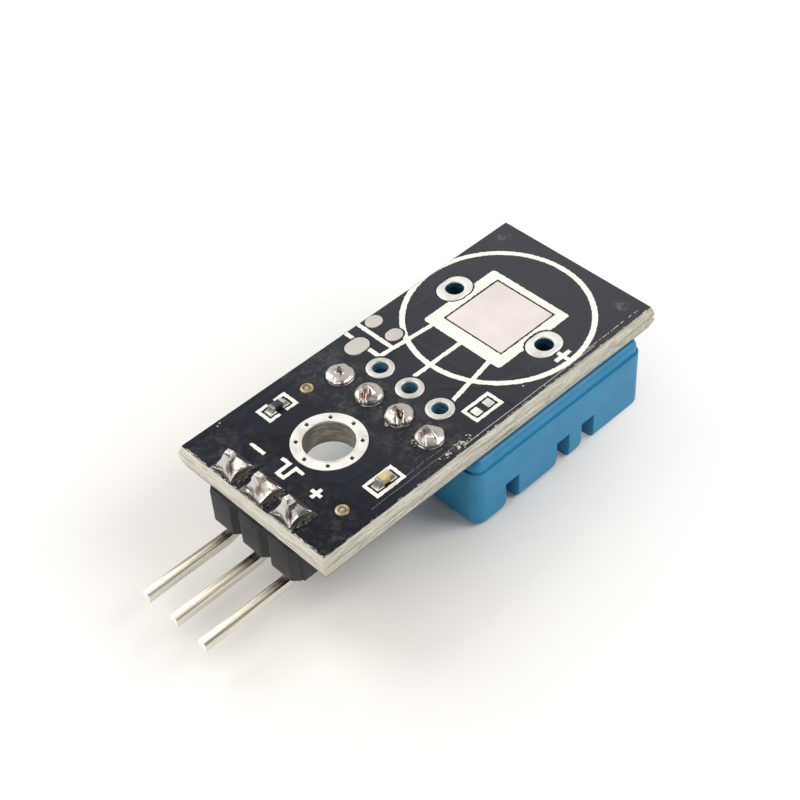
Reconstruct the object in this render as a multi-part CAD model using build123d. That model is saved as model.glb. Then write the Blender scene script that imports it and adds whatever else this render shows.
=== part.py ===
from build123d import *
import os

# Small sensor module: a black circuit board with a three-way right-angle pin
# header at one end and a blue slotted sensor case under the other end.
# X runs along the board from the header to the sensor, Y across it, Z up.
# The front of the sensor case lies flat on the ground plane, Z = 0, the solder
# side of the board faces up, and the origin is under the middle of the whole.

# Sides of the polygons that stand for round outlines: the screw hole's ring, small ones, tiny ones
ring_sides = 32
round_sides = 16
tiny_round_sides = 8

# Circuit board
board_length = 27.57
board_width = 12.28
half_width = board_width / 2
board_thickness = 1.6
score_depth = 0.5
score_web = 0.18
mask_thickness = 0.03
copper_thickness = 0.06
plating = 0.05
ink_thickness = 0.02
mask_gap = 0.06
ink_gap = 0.13
ink_edge_gap = 0.03

# Plated mounting hole and the ring of small vias around it
mount_hole = 3.2
mount_ring = 4.6
mount_along = 6.12
mount_across = 0.07
stitch_count = 8
stitch_hole = 0.3
stitch_circle_diameter = 3.9
stitch_plating = 0.04

# Pin header
pitch = 2.54
header_ways = 3
header_along = 0.95
header_across = 0.15
header_pad = 1.84
header_pad_under = 1.6
header_hole_clearance = 0.12
pin_size = 0.64
pin_rise = 1.3
pin_reach = 6.4
pin_bend_radius = 1.3
pin_drop = 0.98
pin_tip_chamfer = 0.14
housing_size = 2.54
housing_height = 2.54
housing_chamfer = 0.42
snap_stub_width = 1.5
snap_stub_proud = 0.14
header_solder_height = 1.1
header_solder_inset = 0.02
header_solder_collar = 0.05
header_solder_sag = 0.1

# Sensor leads and their solder
lead_count = 4
lead_along = 10.3
lead_across = -0.18
lead_hole = 0.95
lead_pad = 1.82
lead_width = 0.5
lead_thickness = 0.25
lead_rise = 0.85
lead_bend_radius = 0.5
lead_seat_length = 1.6
lead_solder_inset = 0.04
lead_solder_height = 0.62
lead_solder_shoulder = 1.44
lead_solder_shoulder_height = 0.38
lead_solder_crown = 0.64

# Unused holes and pads on the solder side
spare_count = 3
spare_along = 12.4
spare_across = -0.22
spare_hole = 1.0
spare_pad = 1.8
disc_along = 20.6
disc_across = 0.24
disc_spacing = 7.62
disc_hole = 1.2
disc_pad_length = 2.5
disc_pad_width = 1.95
centre_pad = 4.66
centre_pad_across = 0.18
via_hole = 0.45
via_pad = 0.85
via_plating = 0.04
via_spots = [(8.2, 4.31), (3.05, -4.34)]
test_pad_sizes = [(1.7, 1.25), (1.2, 1.0), (1.2, 1.0)]
test_pad_alongs = (12.75, 15.0, 15.0)
test_pad_margins = (1.4, 0.54, 2.34)
test_pad_spots = [(along, half_width - margin) for along, margin in zip(test_pad_alongs, test_pad_margins)]

# Chip parts
chip_length = 1.0
chip_width = 0.5
resistor_height = 0.35
capacitor_height = 0.5
terminal_length = 0.22
chip_pad_length = 0.55
chip_pad_width = 0.6
chip_pad_pitch = 1.0
resistor_margin = 1.75
resistor_spot = (5.89, half_width - resistor_margin)
capacitor_margin = 1.62
capacitor_spot = (6.13, capacitor_margin - half_width)
spare_chip_margin = 1.63
spare_chip_spot = (14.18, spare_chip_margin - half_width)
chip_solder_share = 0.6
chip_solder_sag = 0.05

# White ink marks
ink_line = 0.3
box_length = 2.28
box_width = 1.34
box_line = 0.23
box_break = 0.5
ring_edge_margin = 0.16
ring_radius = half_width - ring_edge_margin
ring_line = 0.36
ring_across = 0.27
frame_margins = (0.95, 0.5, 0.72, 0.8)
frame_corner = 0.2
mark_along = 2.88
mark_arm = 0.84
mark_line = 0.24
minus_length = 1.0
disc_plus_arm = 1.3
disc_plus_margin = 1.05
disc_plus_across = disc_plus_margin - half_width
pulse_height = 0.95
pulse_step = 0.55
route_across = 3.07
route_end_across = 2.68
route_along = 13.05
branch_along = 14.12
middle_route_along = 13.4
low_route_along = 13.5
low_route_across = -2.84
low_route_end_across = -2.14

# Sensor case
case_length = 15.2
case_side_margin = 1.94
case_width = (lead_count - 1) * pitch + lead_width + 2 * case_side_margin
case_thickness = 5.5
case_lift = 0.6
case_setback = 1.45
case_across = -0.3
case_wall = 1.3
case_front = 1.0
case_corner = 0.8
case_front_edge = 0.55
cover_height = 0.9
cover_roof = 0.8
cover_inset = 0.15
cover_edge = 0.45
rim_depth = 0.5
rim_wall = 0.7
rim_clearance = 0.05
slot_first = 3.1
slot_pitch = 2.3
slot_rows = 5
slot_width = 1.15
closed_rows = (1, 4)
notch_height = 2.2
notch_depth = 0.8
middle_slot = 3.0
slot_bar = 0.9
post_size = 1.3
lead_slot_clearance = 0.05

# Inside the sensor case
inner_board_thickness = 0.8
inner_board_clearance = 0.1
humidity_length = 6.0
humidity_width = 5.0
humidity_thickness = 0.6
humidity_shift = -1.8
bead_radius = 0.5
bead_shift = 3.8
bead_lead = 0.1
bead_lead_spread = 0.3
bead_drop = 0.5
bead_height = 0.6
blob_radius = 2.1
blob_crown = 1.2
blob_height = 0.75

# Levels above the ground and the ends of the board, from the sizes above
case_parting = case_thickness - cover_height
board_bottom = case_thickness + case_lift
board_top = board_bottom + board_thickness
pad_top = board_top + copper_thickness
pad_bottom = board_bottom - copper_thickness
mask_top = board_top + mask_thickness
housing_bottom = pad_bottom - housing_height
pin_level = housing_bottom - pin_drop
board_start = (pin_reach - board_length - score_web) / 2
case_start = lead_along + case_setback
header_hole = pin_size * 2 ** 0.5 + header_hole_clearance
lead_level = case_parting - rim_depth - lead_thickness / 2 - rim_clearance
inner_board_top = lead_level - lead_thickness / 2
inner_board_bottom = inner_board_top - inner_board_thickness


def at(along, across):
    """Place on the board: along from its header end, across from its centreline."""
    return Pos(board_start + along, across)


def row(count, along, across):
    """Places of a row of holes across the board at the common pitch."""
    return [(along, across + (i - (count - 1) / 2) * pitch) for i in range(count)]


def slab(sketch, low, high):
    """Solid between two levels with the outline of a flat sketch."""
    return extrude(Pos(0, 0, low) * sketch, high - low)


def combined(shapes):
    """One sketch or solid from several that may touch or overlap."""
    total = shapes[0]
    for shape in shapes[1:]:
        total = total + shape
    return total


header_spots = row(header_ways, header_along, header_across)
lead_spots = row(lead_count, lead_along, lead_across)
spare_spots = row(spare_count, spare_along, spare_across)
disc_spots = [(disc_along, disc_across + side * disc_spacing / 2) for side in (-1, 1)]
chip_spots = [resistor_spot, capacitor_spot, spare_chip_spot]
stitch_places = PolarLocations(stitch_circle_diameter / 2, stitch_count)


def disc(size, grow=0.0, sides=round_sides):
    """Round outline of a small pad or hole, with few sides."""
    return RegularPolygon(size / 2 + grow, sides)


def oval(length, width, grow=0.0):
    """Round-ended outline of a long pad, with few sides."""
    ends = (length - width) / 2
    middle = Rectangle(2 * ends, width + 2 * grow)
    return middle + Pos(ends, 0) * disc(width, grow) + Pos(-ends, 0) * disc(width, grow)


def header_pad_shape(grow=0.0):
    return Rectangle(header_pad + 2 * grow, header_pad + 2 * grow)


def mount_ring_shape(grow=0.0):
    return disc(mount_ring, grow, ring_sides)


def mount_barrel_shape():
    return disc(mount_hole, plating, ring_sides)


def disc_pad_shape(grow=0.0):
    return oval(disc_pad_length, disc_pad_width, grow)


def centre_pad_shape(grow=0.0):
    return Rectangle(centre_pad + 2 * grow, centre_pad + 2 * grow)


def test_pad_shape(size, grow=0.0):
    length, width = size
    return oval(length, width, grow)


def chip_pad_shapes(spot, grow=0.0):
    """Two pads under one chip part, each grown by the same margin."""
    along, across = spot
    pad = Rectangle(chip_pad_length + 2 * grow, chip_pad_width + 2 * grow)
    return [at(along + side * chip_pad_pitch / 2, across) * pad for side in (-1, 1)]


def upper_pads(grow=0.0):
    """Every bare metal area of the solder side, grown by a margin."""
    shapes = [at(mount_along, mount_across) * mount_ring_shape(grow)]
    shapes += [at(*spot) * header_pad_shape(grow) for spot in header_spots]
    shapes += [at(*spot) * disc(lead_pad, grow) for spot in lead_spots]
    shapes += [at(*spot) * disc(spare_pad, grow) for spot in spare_spots]
    shapes += [at(*spot) * disc_pad_shape(grow) for spot in disc_spots]
    shapes += [at(*spot) * disc(via_pad, grow) for spot in via_spots]
    shapes += [at(disc_along, centre_pad_across) * centre_pad_shape(grow)]
    for spot, size in zip(test_pad_spots, test_pad_sizes):
        shapes.append(at(*spot) * test_pad_shape(size, grow))
    for spot in chip_spots:
        shapes += chip_pad_shapes(spot, grow)
    return shapes


def lower_pads(grow=0.0):
    """Every bare metal area of the side that faces the sensor case."""
    under_pad = disc(header_pad_under, grow)
    shapes = [at(mount_along, mount_across) * mount_ring_shape(grow)]
    shapes += [at(*spot) * under_pad for spot in header_spots]
    shapes += [at(*spot) * disc(lead_pad, grow) for spot in lead_spots]
    shapes += [at(*spot) * disc(spare_pad, grow) for spot in spare_spots]
    shapes += [at(*spot) * disc_pad_shape(grow) for spot in disc_spots]
    shapes += [at(*spot) * disc(via_pad, grow) for spot in via_spots]
    return shapes


def stitch_vias(grow=0.0):
    """Outlines of the tiny holes in the ring round the screw hole."""
    centre = at(mount_along, mount_across)
    hole = disc(stitch_hole, grow, tiny_round_sides)
    return [centre * place * hole for place in stitch_places]


def board_outline(grow=0.0):
    middle = at(board_length / 2, 0)
    return middle * Rectangle(board_length + 2 * grow, board_width + 2 * grow)


def circuit_board():
    """Glass-fibre board snapped from a scored panel: sloped score faces meet a broken web."""
    low_web = board_bottom + score_depth
    high_web = board_top - score_depth
    narrow = board_outline()
    wide = board_outline(score_web)
    lower = loft([Pos(0, 0, board_bottom) * narrow, Pos(0, 0, low_web) * wide], ruled=True)
    upper = loft([Pos(0, 0, high_web) * wide, Pos(0, 0, board_top) * narrow], ruled=True)
    board = lower + slab(wide, low_web, high_web) + upper
    drilled = [at(mount_along, mount_across) * mount_barrel_shape()]
    drilled += stitch_vias(stitch_plating)
    drilled += [at(*spot) * disc(header_hole, plating) for spot in header_spots]
    drilled += [at(*spot) * disc(lead_hole, plating) for spot in lead_spots]
    drilled += [at(*spot) * disc(spare_hole, plating) for spot in spare_spots]
    drilled += [at(*spot) * disc(disc_hole, plating) for spot in disc_spots]
    drilled += [at(*spot) * disc(via_hole, via_plating, tiny_round_sides) for spot in via_spots]
    for hole in drilled:
        board -= slab(hole, board_bottom, board_top)
    return board


def mask_film(pads, low):
    """Black lacquer film with an opening a little larger than each pad."""
    outline = board_outline()
    for pad in pads:
        outline -= pad
    return slab(outline, low, low + mask_thickness)


def plated_hole(spot, hole, barrel, upper_pad, lower_pad):
    """Plated barrel through the board with a flat pad on each side, as one piece."""
    place = at(*spot)
    piece = slab(place * barrel, board_bottom, board_top)
    piece += slab(place * upper_pad, board_top, pad_top)
    piece += slab(place * lower_pad, pad_bottom, board_bottom)
    return piece - slab(place * hole, pad_bottom, pad_top)


def plated_holes(spots, size, upper_pad, lower_pad):
    """One plated hole of the same kind at each place."""
    hole, barrel = disc(size), disc(size, plating)
    return [plated_hole(spot, hole, barrel, upper_pad, lower_pad) for spot in spots]


def mounting_hole_plating():
    """Tinned ring and barrel of the screw hole, with its circle of small plated vias."""
    ring = mount_ring_shape()
    bore = Circle(mount_hole / 2)
    piece = plated_hole((mount_along, mount_across), bore, mount_barrel_shape(), ring, ring)
    for barrel in stitch_vias(stitch_plating):
        piece += slab(barrel, board_bottom, board_top)
    for hole in stitch_vias():
        piece -= slab(hole, pad_bottom, pad_top)
    return piece


def header_pads():
    return plated_holes(header_spots, header_hole, header_pad_shape(), disc(header_pad_under))


def lead_pads():
    return plated_holes(lead_spots, lead_hole, disc(lead_pad), disc(lead_pad))


def spare_row_pads():
    return plated_holes(spare_spots, spare_hole, disc(spare_pad), disc(spare_pad))


def disc_pads():
    return plated_holes(disc_spots, disc_hole, disc_pad_shape(), disc_pad_shape())


def small_vias():
    pad = disc(via_pad)
    hole = disc(via_hole, sides=tiny_round_sides)
    barrel = disc(via_hole, via_plating, tiny_round_sides)
    return [plated_hole(spot, hole, barrel, pad, pad) for spot in via_spots]


def centre_contact_pad():
    return slab(at(disc_along, centre_pad_across) * centre_pad_shape(), board_top, pad_top)


def test_pads():
    pads = []
    for spot, size in zip(test_pad_spots, test_pad_sizes):
        pads.append(slab(at(*spot) * test_pad_shape(size), board_top, pad_top))
    return pads


def chip_pads():
    pads = []
    for spot in chip_spots:
        pads += [slab(shape, board_top, pad_top) for shape in chip_pad_shapes(spot)]
    return pads


def stroke(start, end, width=ink_line):
    """Straight ink line between two places on the board, half its width longer at each end."""
    run = Vector(end[0] - start[0], end[1] - start[1])
    middle = at((start[0] + end[0]) / 2, (start[1] + end[1]) / 2)
    turn = Rot(0, 0, Vector(1, 0, 0).get_signed_angle(run, Vector(0, 0, 1)))
    return middle * turn * Rectangle(run.length + width, width)


def plus_mark(along, across, arm, width):
    return at(along, across) * (Rectangle(arm, width) + Rectangle(width, arm))


def chip_box(spot, broken):
    """Ink outline round a chip part, broken in the middle of its long sides or whole."""
    inner_length = box_length - 2 * box_line
    inner_width = box_width - 2 * box_line
    outline = Rectangle(box_length, box_width) - Rectangle(inner_length, inner_width)
    if broken:
        outline -= Rectangle(box_break, box_width)
    return at(*spot) * outline


def centre_frame():
    """Solid ink border round the large square pad, wider on the header side."""
    near, far, right, left = frame_margins
    half = centre_pad / 2 + ink_gap
    length = 2 * half + near + far
    width = 2 * half + right + left
    border = RectangleRounded(length, width, frame_corner)
    return at(disc_along + (far - near) / 2, centre_pad_across + (left - right) / 2) * border


def pulse_mark():
    """Plain square pulse for the signal pin: low, high, low, across the board."""
    low = mark_along + pulse_height / 2
    high = mark_along - pulse_height / 2
    steps = [header_across + (i - 1.5) * pulse_step for i in range(4)]
    points = [(low, steps[0]), (low, steps[1]), (high, steps[1])]
    points += [(high, steps[2]), (low, steps[2]), (low, steps[3])]
    return [stroke(a, b, mark_line) for a, b in zip(points, points[1:])]


def silkscreen():
    """All the white ink: lines, ring, frame and signs, kept clear of the bare metal."""
    ring = Circle(ring_radius + ring_line / 2) - Circle(ring_radius - ring_line / 2)
    edge = board_width / 2
    frame_start = disc_along - centre_pad / 2 - frame_margins[0]
    marks = [at(disc_along, ring_across) * ring, centre_frame()]
    marks += [stroke((route_along, route_across), (frame_start, route_end_across))]
    marks += [stroke((route_along, route_across), (route_along, edge))]
    marks += [stroke((branch_along, route_across), (branch_along, edge))]
    marks += [stroke((middle_route_along, ring_across), (frame_start, ring_across))]
    marks += [stroke((low_route_along, low_route_across), (frame_start, low_route_end_across))]
    marks += [plus_mark(disc_along, disc_plus_across, disc_plus_arm, ink_line)]
    marks += [chip_box(resistor_spot, True), chip_box(capacitor_spot, False)]
    marks += [chip_box(spare_chip_spot, False)]
    marks += [plus_mark(mark_along, header_spots[0][1], mark_arm, mark_line)]
    minus_across = header_spots[-1][1]
    marks += [stroke((mark_along, minus_across - minus_length / 2),
                     (mark_along, minus_across + minus_length / 2), mark_line)]
    marks += pulse_mark()
    drawing = combined(marks) & board_outline(-ink_edge_gap)
    for pad in upper_pads(ink_gap):
        drawing -= pad
    return slab(drawing, mask_top, mask_top + ink_thickness)


def header_housing(pins):
    """Black moulded strip of eight-sided positions, open round the pins, with a snapped stub."""
    bevelled = Rectangle(housing_size, housing_size)
    bevelled = chamfer(bevelled.vertices(), housing_chamfer)
    plan = combined([at(*spot) * bevelled for spot in header_spots])
    stub_across = header_spots[0][1] - (housing_size + snap_stub_proud) / 2
    plan += at(header_along, stub_across) * Rectangle(snap_stub_width, snap_stub_proud)
    housing = slab(plan, housing_bottom, pad_bottom)
    for pin in pins:
        housing -= pin
    return housing


def bent_bar(points, radius, width, thickness):
    """Rectangular wire along a filleted path in the XZ plane; width lies along Y."""
    path = FilletPolyline(*points, radius=radius)
    section = Plane(origin=path @ 0, x_dir=(0, 1, 0), z_dir=path % 0) * Rectangle(width, thickness)
    return sweep(section, path=path)


def header_pin(spot):
    """Square pin that rises through the board and turns out level below the housing."""
    rise = board_start + spot[0]
    tip = board_start - pin_reach
    corners = [(rise, 0, board_top + pin_rise), (rise, 0, pin_level), (tip, 0, pin_level)]
    pin = bent_bar(corners, pin_bend_radius, pin_size, pin_size)
    for end in (pin.faces().sort_by(Axis.X)[0], pin.faces().sort_by(Axis.Z)[-1]):
        pin = chamfer(end.edges(), pin_tip_chamfer)
    return Pos(0, spot[1], 0) * pin


def tent_profile(half_base, half_top, height, sag):
    """Upright outline of a solder joint with hollow sides, wide at the pad."""
    right = SagittaArc((half_base, 0), (half_top, height), sag)
    left = SagittaArc((-half_top, height), (-half_base, 0), sag)
    top = Line((half_top, height), (-half_top, height))
    base = Line((-half_base, 0), (half_base, 0))
    return make_face([right, top, left, base])


def header_solder(spot, pin):
    """Hollow-sided pyramid with ridges to the pad corners; fills the barrel round the pin."""
    half_base = header_pad / 2 - header_solder_inset
    half_top = pin_size / 2 + header_solder_collar
    profile = tent_profile(half_base, half_top, header_solder_height, header_solder_sag)
    along = extrude(Plane.XZ * profile, half_base, both=True)
    across = extrude(Plane.YZ * profile, half_base, both=True)
    place = at(*spot)
    joint = place * Pos(0, 0, pad_top) * (along & across)
    joint += slab(place * disc(header_hole), pad_bottom, pad_top)
    return joint - pin


def sensor_lead(spot):
    """Flat lead that lies on the inner board, leaves the case end and turns up."""
    start = board_start + case_start + case_wall + lead_seat_length
    rise = board_start + spot[0]
    corners = [(start, 0, lead_level), (rise, 0, lead_level), (rise, 0, board_top + lead_rise)]
    lead = bent_bar(corners, lead_bend_radius, lead_width, lead_thickness)
    return Pos(0, spot[1], 0) * lead


def sensor_solder(spot, lead):
    """Round solder dome with a crown round the lead; fills the barrel below."""
    foot = disc(lead_pad - 2 * lead_solder_inset)
    shoulder = Pos(0, 0, lead_solder_shoulder_height) * disc(lead_solder_shoulder)
    crown = Pos(0, 0, lead_solder_height) * disc(lead_solder_crown)
    place = at(*spot)
    joint = place * Pos(0, 0, pad_top) * loft([foot, shoulder, crown], ruled=True)
    joint += slab(place * disc(lead_hole), pad_bottom, pad_top)
    return joint - lead


def chip_body(spot, height):
    length = chip_length - 2 * terminal_length
    return slab(at(*spot) * Rectangle(length, chip_width), pad_top, pad_top + height)


def chip_terminals(spot, height):
    """Two metal end caps of a chip part."""
    shift = (chip_length - terminal_length) / 2
    cap = Rectangle(terminal_length, chip_width)
    caps = []
    for side in (-1, 1):
        caps.append(slab(at(spot[0] + side * shift, spot[1]) * cap, pad_top, pad_top + height))
    return caps


def chip_solder(spot, height):
    """Hollow fillet from each end cap out to the end of its pad."""
    reach = chip_pad_pitch / 2 + chip_pad_length / 2 - chip_length / 2
    rise = chip_solder_share * height
    slope = SagittaArc((reach, 0), (0, rise), chip_solder_sag)
    outline = make_face([slope, Line((0, rise), (0, 0)), Line((0, 0), (reach, 0))])
    wedge = extrude(Plane.XZ * outline, chip_width / 2, both=True)
    right = at(*spot) * Pos(chip_length / 2, 0, pad_top) * wedge
    left = at(*spot) * Rot(0, 0, 180) * Pos(chip_length / 2, 0, pad_top) * wedge
    return [left, right]


def case_place():
    return at(case_start + case_length / 2, case_across)


def cavity_outline(shrink=0.0):
    length = case_length - 2 * (case_wall + shrink)
    width = case_width - 2 * (case_wall + shrink)
    return Rectangle(length, width)


def grille_cuts():
    """Slots through the front in three columns; open rows also notch the side walls."""
    half = case_width / 2
    inner = middle_slot / 2 + slot_bar
    cuts = []
    for i in range(slot_rows):
        centre = Pos(-case_length / 2 + slot_first + i * slot_pitch, 0)
        cuts.append(slab(centre * Rectangle(slot_width, middle_slot), 0, case_front))
        reach = half - case_wall if i in closed_rows else half
        for side in (-1, 1):
            middle = side * (inner + reach) / 2
            cuts.append(slab(centre * Pos(0, middle) * Rectangle(slot_width, reach - inner), 0, case_front))
            if i not in closed_rows:
                notch = Rectangle(slot_width, notch_depth)
                edge = side * (half - notch_depth / 2)
                cuts.append(slab(centre * Pos(0, edge) * notch, 0, notch_height))
    return cuts


def sensor_shell():
    """Moulded case front: rounded walls, slotted face, corner posts and lead slots."""
    outline = RectangleRounded(case_length, case_width, case_corner)
    shell = slab(outline, 0, case_parting)
    shell = fillet(shell.faces().sort_by(Axis.Z)[0].edges(), case_front_edge)
    shell -= slab(cavity_outline(), case_front, case_parting)
    corner_along = case_length / 2 - case_wall - post_size / 2
    corner_across = case_width / 2 - case_wall - post_size / 2
    for place in GridLocations(2 * corner_along, 2 * corner_across, 2, 2):
        shell += slab(place * Rectangle(post_size, post_size), case_front, inner_board_bottom)
    for cut in grille_cuts():
        shell -= cut
    shell = case_place() * shell
    slot_size = lead_width + 2 * lead_slot_clearance
    for spot in lead_spots:
        slot = at(case_start + case_wall / 2, spot[1]) * Rectangle(case_wall, slot_size)
        shell -= slab(slot, inner_board_top - lead_slot_clearance, case_parting)
    return shell


def sensor_back_cover():
    """Lid with a soft top edge, a shallow pocket inside and a rim that fits the walls."""
    length = case_length - 2 * cover_inset
    width = case_width - 2 * cover_inset
    lid = slab(RectangleRounded(length, width, case_corner - cover_inset), case_parting, case_thickness)
    lid = fillet(lid.faces().sort_by(Axis.Z)[-1].edges(), cover_edge)
    rim_outer = cavity_outline(rim_clearance)
    rim_inner = cavity_outline(rim_clearance + rim_wall)
    lid += slab(rim_outer, case_parting - rim_depth, case_parting)
    lid -= slab(rim_inner, case_parting - rim_depth, case_thickness - cover_roof)
    return case_place() * lid


def inner_board():
    """Small circuit board inside the case; it sits on the corner posts."""
    plate = cavity_outline(inner_board_clearance)
    return case_place() * slab(plate, inner_board_bottom, inner_board_top)


def humidity_element():
    """Flat moisture-sensing plate behind the slotted face."""
    plate = Pos(humidity_shift, 0) * Rectangle(humidity_length, humidity_width)
    return case_place() * slab(plate, inner_board_bottom - humidity_thickness, inner_board_bottom)


def thermistor():
    """Temperature bead hung on two short wires from the inner board."""
    level = inner_board_bottom - bead_drop
    bead = slab(Pos(bead_shift, 0) * disc(2 * bead_radius), level - bead_height, level)
    for side in (-1, 1):
        wire = Pos(bead_shift, side * bead_lead_spread) * disc(2 * bead_lead, sides=tiny_round_sides)
        bead += slab(wire, level, inner_board_bottom)
    return case_place() * bead


def controller_blob():
    """Low mound of black resin over the measuring chip."""
    foot = Pos(0, 0, inner_board_top) * disc(2 * blob_radius)
    crown = Pos(0, 0, inner_board_top + blob_height) * disc(2 * blob_crown)
    return case_place() * loft([foot, crown], ruled=True)


def save(name, shapes):
    """Write one node; a node of several equal solids is a plain group."""
    group = shapes if isinstance(shapes, list) else [shapes]
    solids = [solid for shape in group for solid in shape.solids()]
    export_step(solids[0] if len(solids) == 1 else Compound(children=solids), f"parts/{name}.step")


def build():
    os.makedirs("parts", exist_ok=True)
    save("circuit_board", circuit_board())
    save("solder_mask_upper", mask_film(upper_pads(mask_gap), board_top))
    save("solder_mask_lower", mask_film(lower_pads(mask_gap), board_bottom - mask_thickness))
    save("silkscreen", silkscreen())
    save("mounting_hole_plating", mounting_hole_plating())
    save("header_pads", header_pads())
    save("lead_pads", lead_pads())
    save("spare_row_pads", spare_row_pads())
    save("disc_pads", disc_pads())
    save("small_vias", small_vias())
    save("centre_contact_pad", centre_contact_pad())
    save("test_pads", test_pads())
    save("chip_pads", chip_pads())
    pins = [header_pin(spot) for spot in header_spots]
    save("header_housing", header_housing(pins))
    for i, (spot, pin) in enumerate(zip(header_spots, pins), 1):
        save(f"header_pin_{i}", pin)
        save(f"header_solder_{i}", header_solder(spot, pin))
    for i, spot in enumerate(lead_spots, 1):
        lead = sensor_lead(spot)
        save(f"sensor_lead_{i}", lead)
        save(f"sensor_solder_{i}", sensor_solder(spot, lead))
    save("resistor_body", chip_body(resistor_spot, resistor_height))
    save("resistor_terminals", chip_terminals(resistor_spot, resistor_height))
    save("resistor_solder", chip_solder(resistor_spot, resistor_height))
    save("capacitor_body", chip_body(capacitor_spot, capacitor_height))
    save("capacitor_terminals", chip_terminals(capacitor_spot, capacitor_height))
    save("capacitor_solder", chip_solder(capacitor_spot, capacitor_height))
    save("sensor_shell", sensor_shell())
    save("sensor_back_cover", sensor_back_cover())
    save("inner_board", inner_board())
    save("humidity_element", humidity_element())
    save("thermistor", thermistor())
    save("controller_blob", controller_blob())


build()
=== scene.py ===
# %% [markdown]
# # A small sensor module, dressed over its CAD frame
# The real thing is a black circuit board, 27.6 mm long, with a three-way pin header at
# one end and a slotted blue sensor case under the other. It lies on the case's slotted
# front, so the solder side looks up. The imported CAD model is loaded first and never
# moved. Each later cell either gives a CAD node a better surface, or builds a finer
# piece in exactly the same place and lets it stand for the node.

# %% Load the frame
import math
import random

import bmesh
import bpy
from mathutils import Matrix, Vector, noise


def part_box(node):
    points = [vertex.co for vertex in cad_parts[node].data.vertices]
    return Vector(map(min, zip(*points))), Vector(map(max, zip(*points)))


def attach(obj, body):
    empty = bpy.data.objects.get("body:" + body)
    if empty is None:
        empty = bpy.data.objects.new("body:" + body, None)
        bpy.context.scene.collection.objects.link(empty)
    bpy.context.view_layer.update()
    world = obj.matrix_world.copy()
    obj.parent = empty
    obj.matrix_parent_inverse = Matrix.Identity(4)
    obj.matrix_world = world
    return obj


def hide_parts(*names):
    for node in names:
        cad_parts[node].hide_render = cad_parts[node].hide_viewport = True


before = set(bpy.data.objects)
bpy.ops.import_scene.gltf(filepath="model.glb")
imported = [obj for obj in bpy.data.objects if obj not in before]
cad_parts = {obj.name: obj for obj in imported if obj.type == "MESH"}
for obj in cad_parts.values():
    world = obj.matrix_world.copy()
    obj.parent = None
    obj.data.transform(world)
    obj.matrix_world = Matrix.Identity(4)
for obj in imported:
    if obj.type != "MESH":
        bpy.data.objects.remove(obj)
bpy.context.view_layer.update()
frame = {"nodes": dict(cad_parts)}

nodes = frame["nodes"]

# %% [markdown]
# ## One set of sizes
# Blender works in metres, but a part this small is easier to think of in millimetres.
# Every builder below therefore models in millimetres, and one helper scales the result
# at the end. Levels are read from the CAD boxes, so they follow the frame; places along
# the board are measured from its header end, as a maker would read them off a drawing.

# %% Sizes and places
MM = 0.001
BOARD_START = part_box("solder_mask_upper")[0].x / MM
BOARD_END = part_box("solder_mask_upper")[1].x / MM
HALF_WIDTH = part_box("solder_mask_upper")[1].y / MM
BOARD_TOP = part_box("solder_mask_upper")[0].z / MM
LACQUER_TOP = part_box("solder_mask_upper")[1].z / MM
PAD_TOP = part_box("centre_contact_pad")[1].z / MM
BOARD_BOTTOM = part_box("solder_mask_lower")[1].z / MM
LACQUER_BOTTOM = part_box("solder_mask_lower")[0].z / MM
PAD_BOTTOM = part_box("disc_pads")[0].z / MM
PIN_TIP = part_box("header_pin_1")[0].x / MM
PIN_THICKNESS = 0.64
PIN_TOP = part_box("header_pin_1")[0].z / MM + PIN_THICKNESS
PITCH = 2.54


def hole_row(count, along, across):
    """Centres of a row of holes across the board, at the common pitch."""
    return [(BOARD_START + along, across + (i - (count - 1) / 2) * PITCH) for i in range(count)]


HEADER_SPOTS = hole_row(3, 0.95, 0.15)
LEAD_SPOTS = hole_row(4, 10.3, -0.18)
SPARE_SPOTS = hole_row(3, 12.4, -0.22)
DISC_SPOTS = [(BOARD_START + 20.6, 0.24 + side * 1.5 * PITCH) for side in (-1, 1)]
VIA_SPOTS = [(BOARD_START + 8.2, 4.31), (BOARD_START + 3.05, -4.34)]
# each oval test pad: centre, length and width
TEST_PADS = [(BOARD_START + 12.75, 4.74, 1.7, 1.25), (BOARD_START + 15.0, 5.6, 1.2, 1.0),
             (BOARD_START + 15.0, 3.8, 1.2, 1.0)]
RESISTOR = (BOARD_START + 5.89, 4.39)
CAPACITOR = (BOARD_START + 6.13, -4.52)
SPARE_CHIP = (BOARD_START + 14.18, -4.51)
CHIP_LANDS = [(x + side, y) for x, y in (RESISTOR, CAPACITOR, SPARE_CHIP) for side in (-0.5, 0.5)]
SCREW_HOLE = (BOARD_START + 6.12, 0.07)
CENTRE_PAD = (BOARD_START + 20.6, 0.18)
print("board from", round(BOARD_START, 3), "to", round(BOARD_END, 3), "top at", round(BOARD_TOP, 3))

# %% [markdown]
# ## The camera comes first
# The photograph looks down on the header end from about 45 degrees, with the board
# running away to the upper right. The long lens keeps the far end nearly as large as the
# near one. Place and turn were found by fitting a pinhole camera to the hole rows.

# %% Camera
scene = bpy.context.scene
lens = bpy.data.cameras.new("camera")
lens.lens = 75.83
lens.sensor_width = 36.0
lens.clip_start = 0.001
lens.clip_end = 10.0
camera = bpy.data.objects.new("camera", lens)
camera.location = (-0.04604, -0.05337, 0.07842)
camera.rotation_euler = (math.radians(44.846), math.radians(2.889), math.radians(-44.341))
scene.collection.objects.link(camera)
scene.camera = camera
print("camera", [round(v / MM, 1) for v in camera.location], "lens", lens.lens)

# %% [markdown]
# ## Light, floor and background
# A product photograph like this is made in a bright, nearly shadowless tent: a few large
# lamps, and light from all round that fills the rest. The tent, the floor and every
# surface are made of shader nodes. A few helpers add one node each and link it, so that
# what follows reads as a recipe rather than as wiring.


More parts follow.
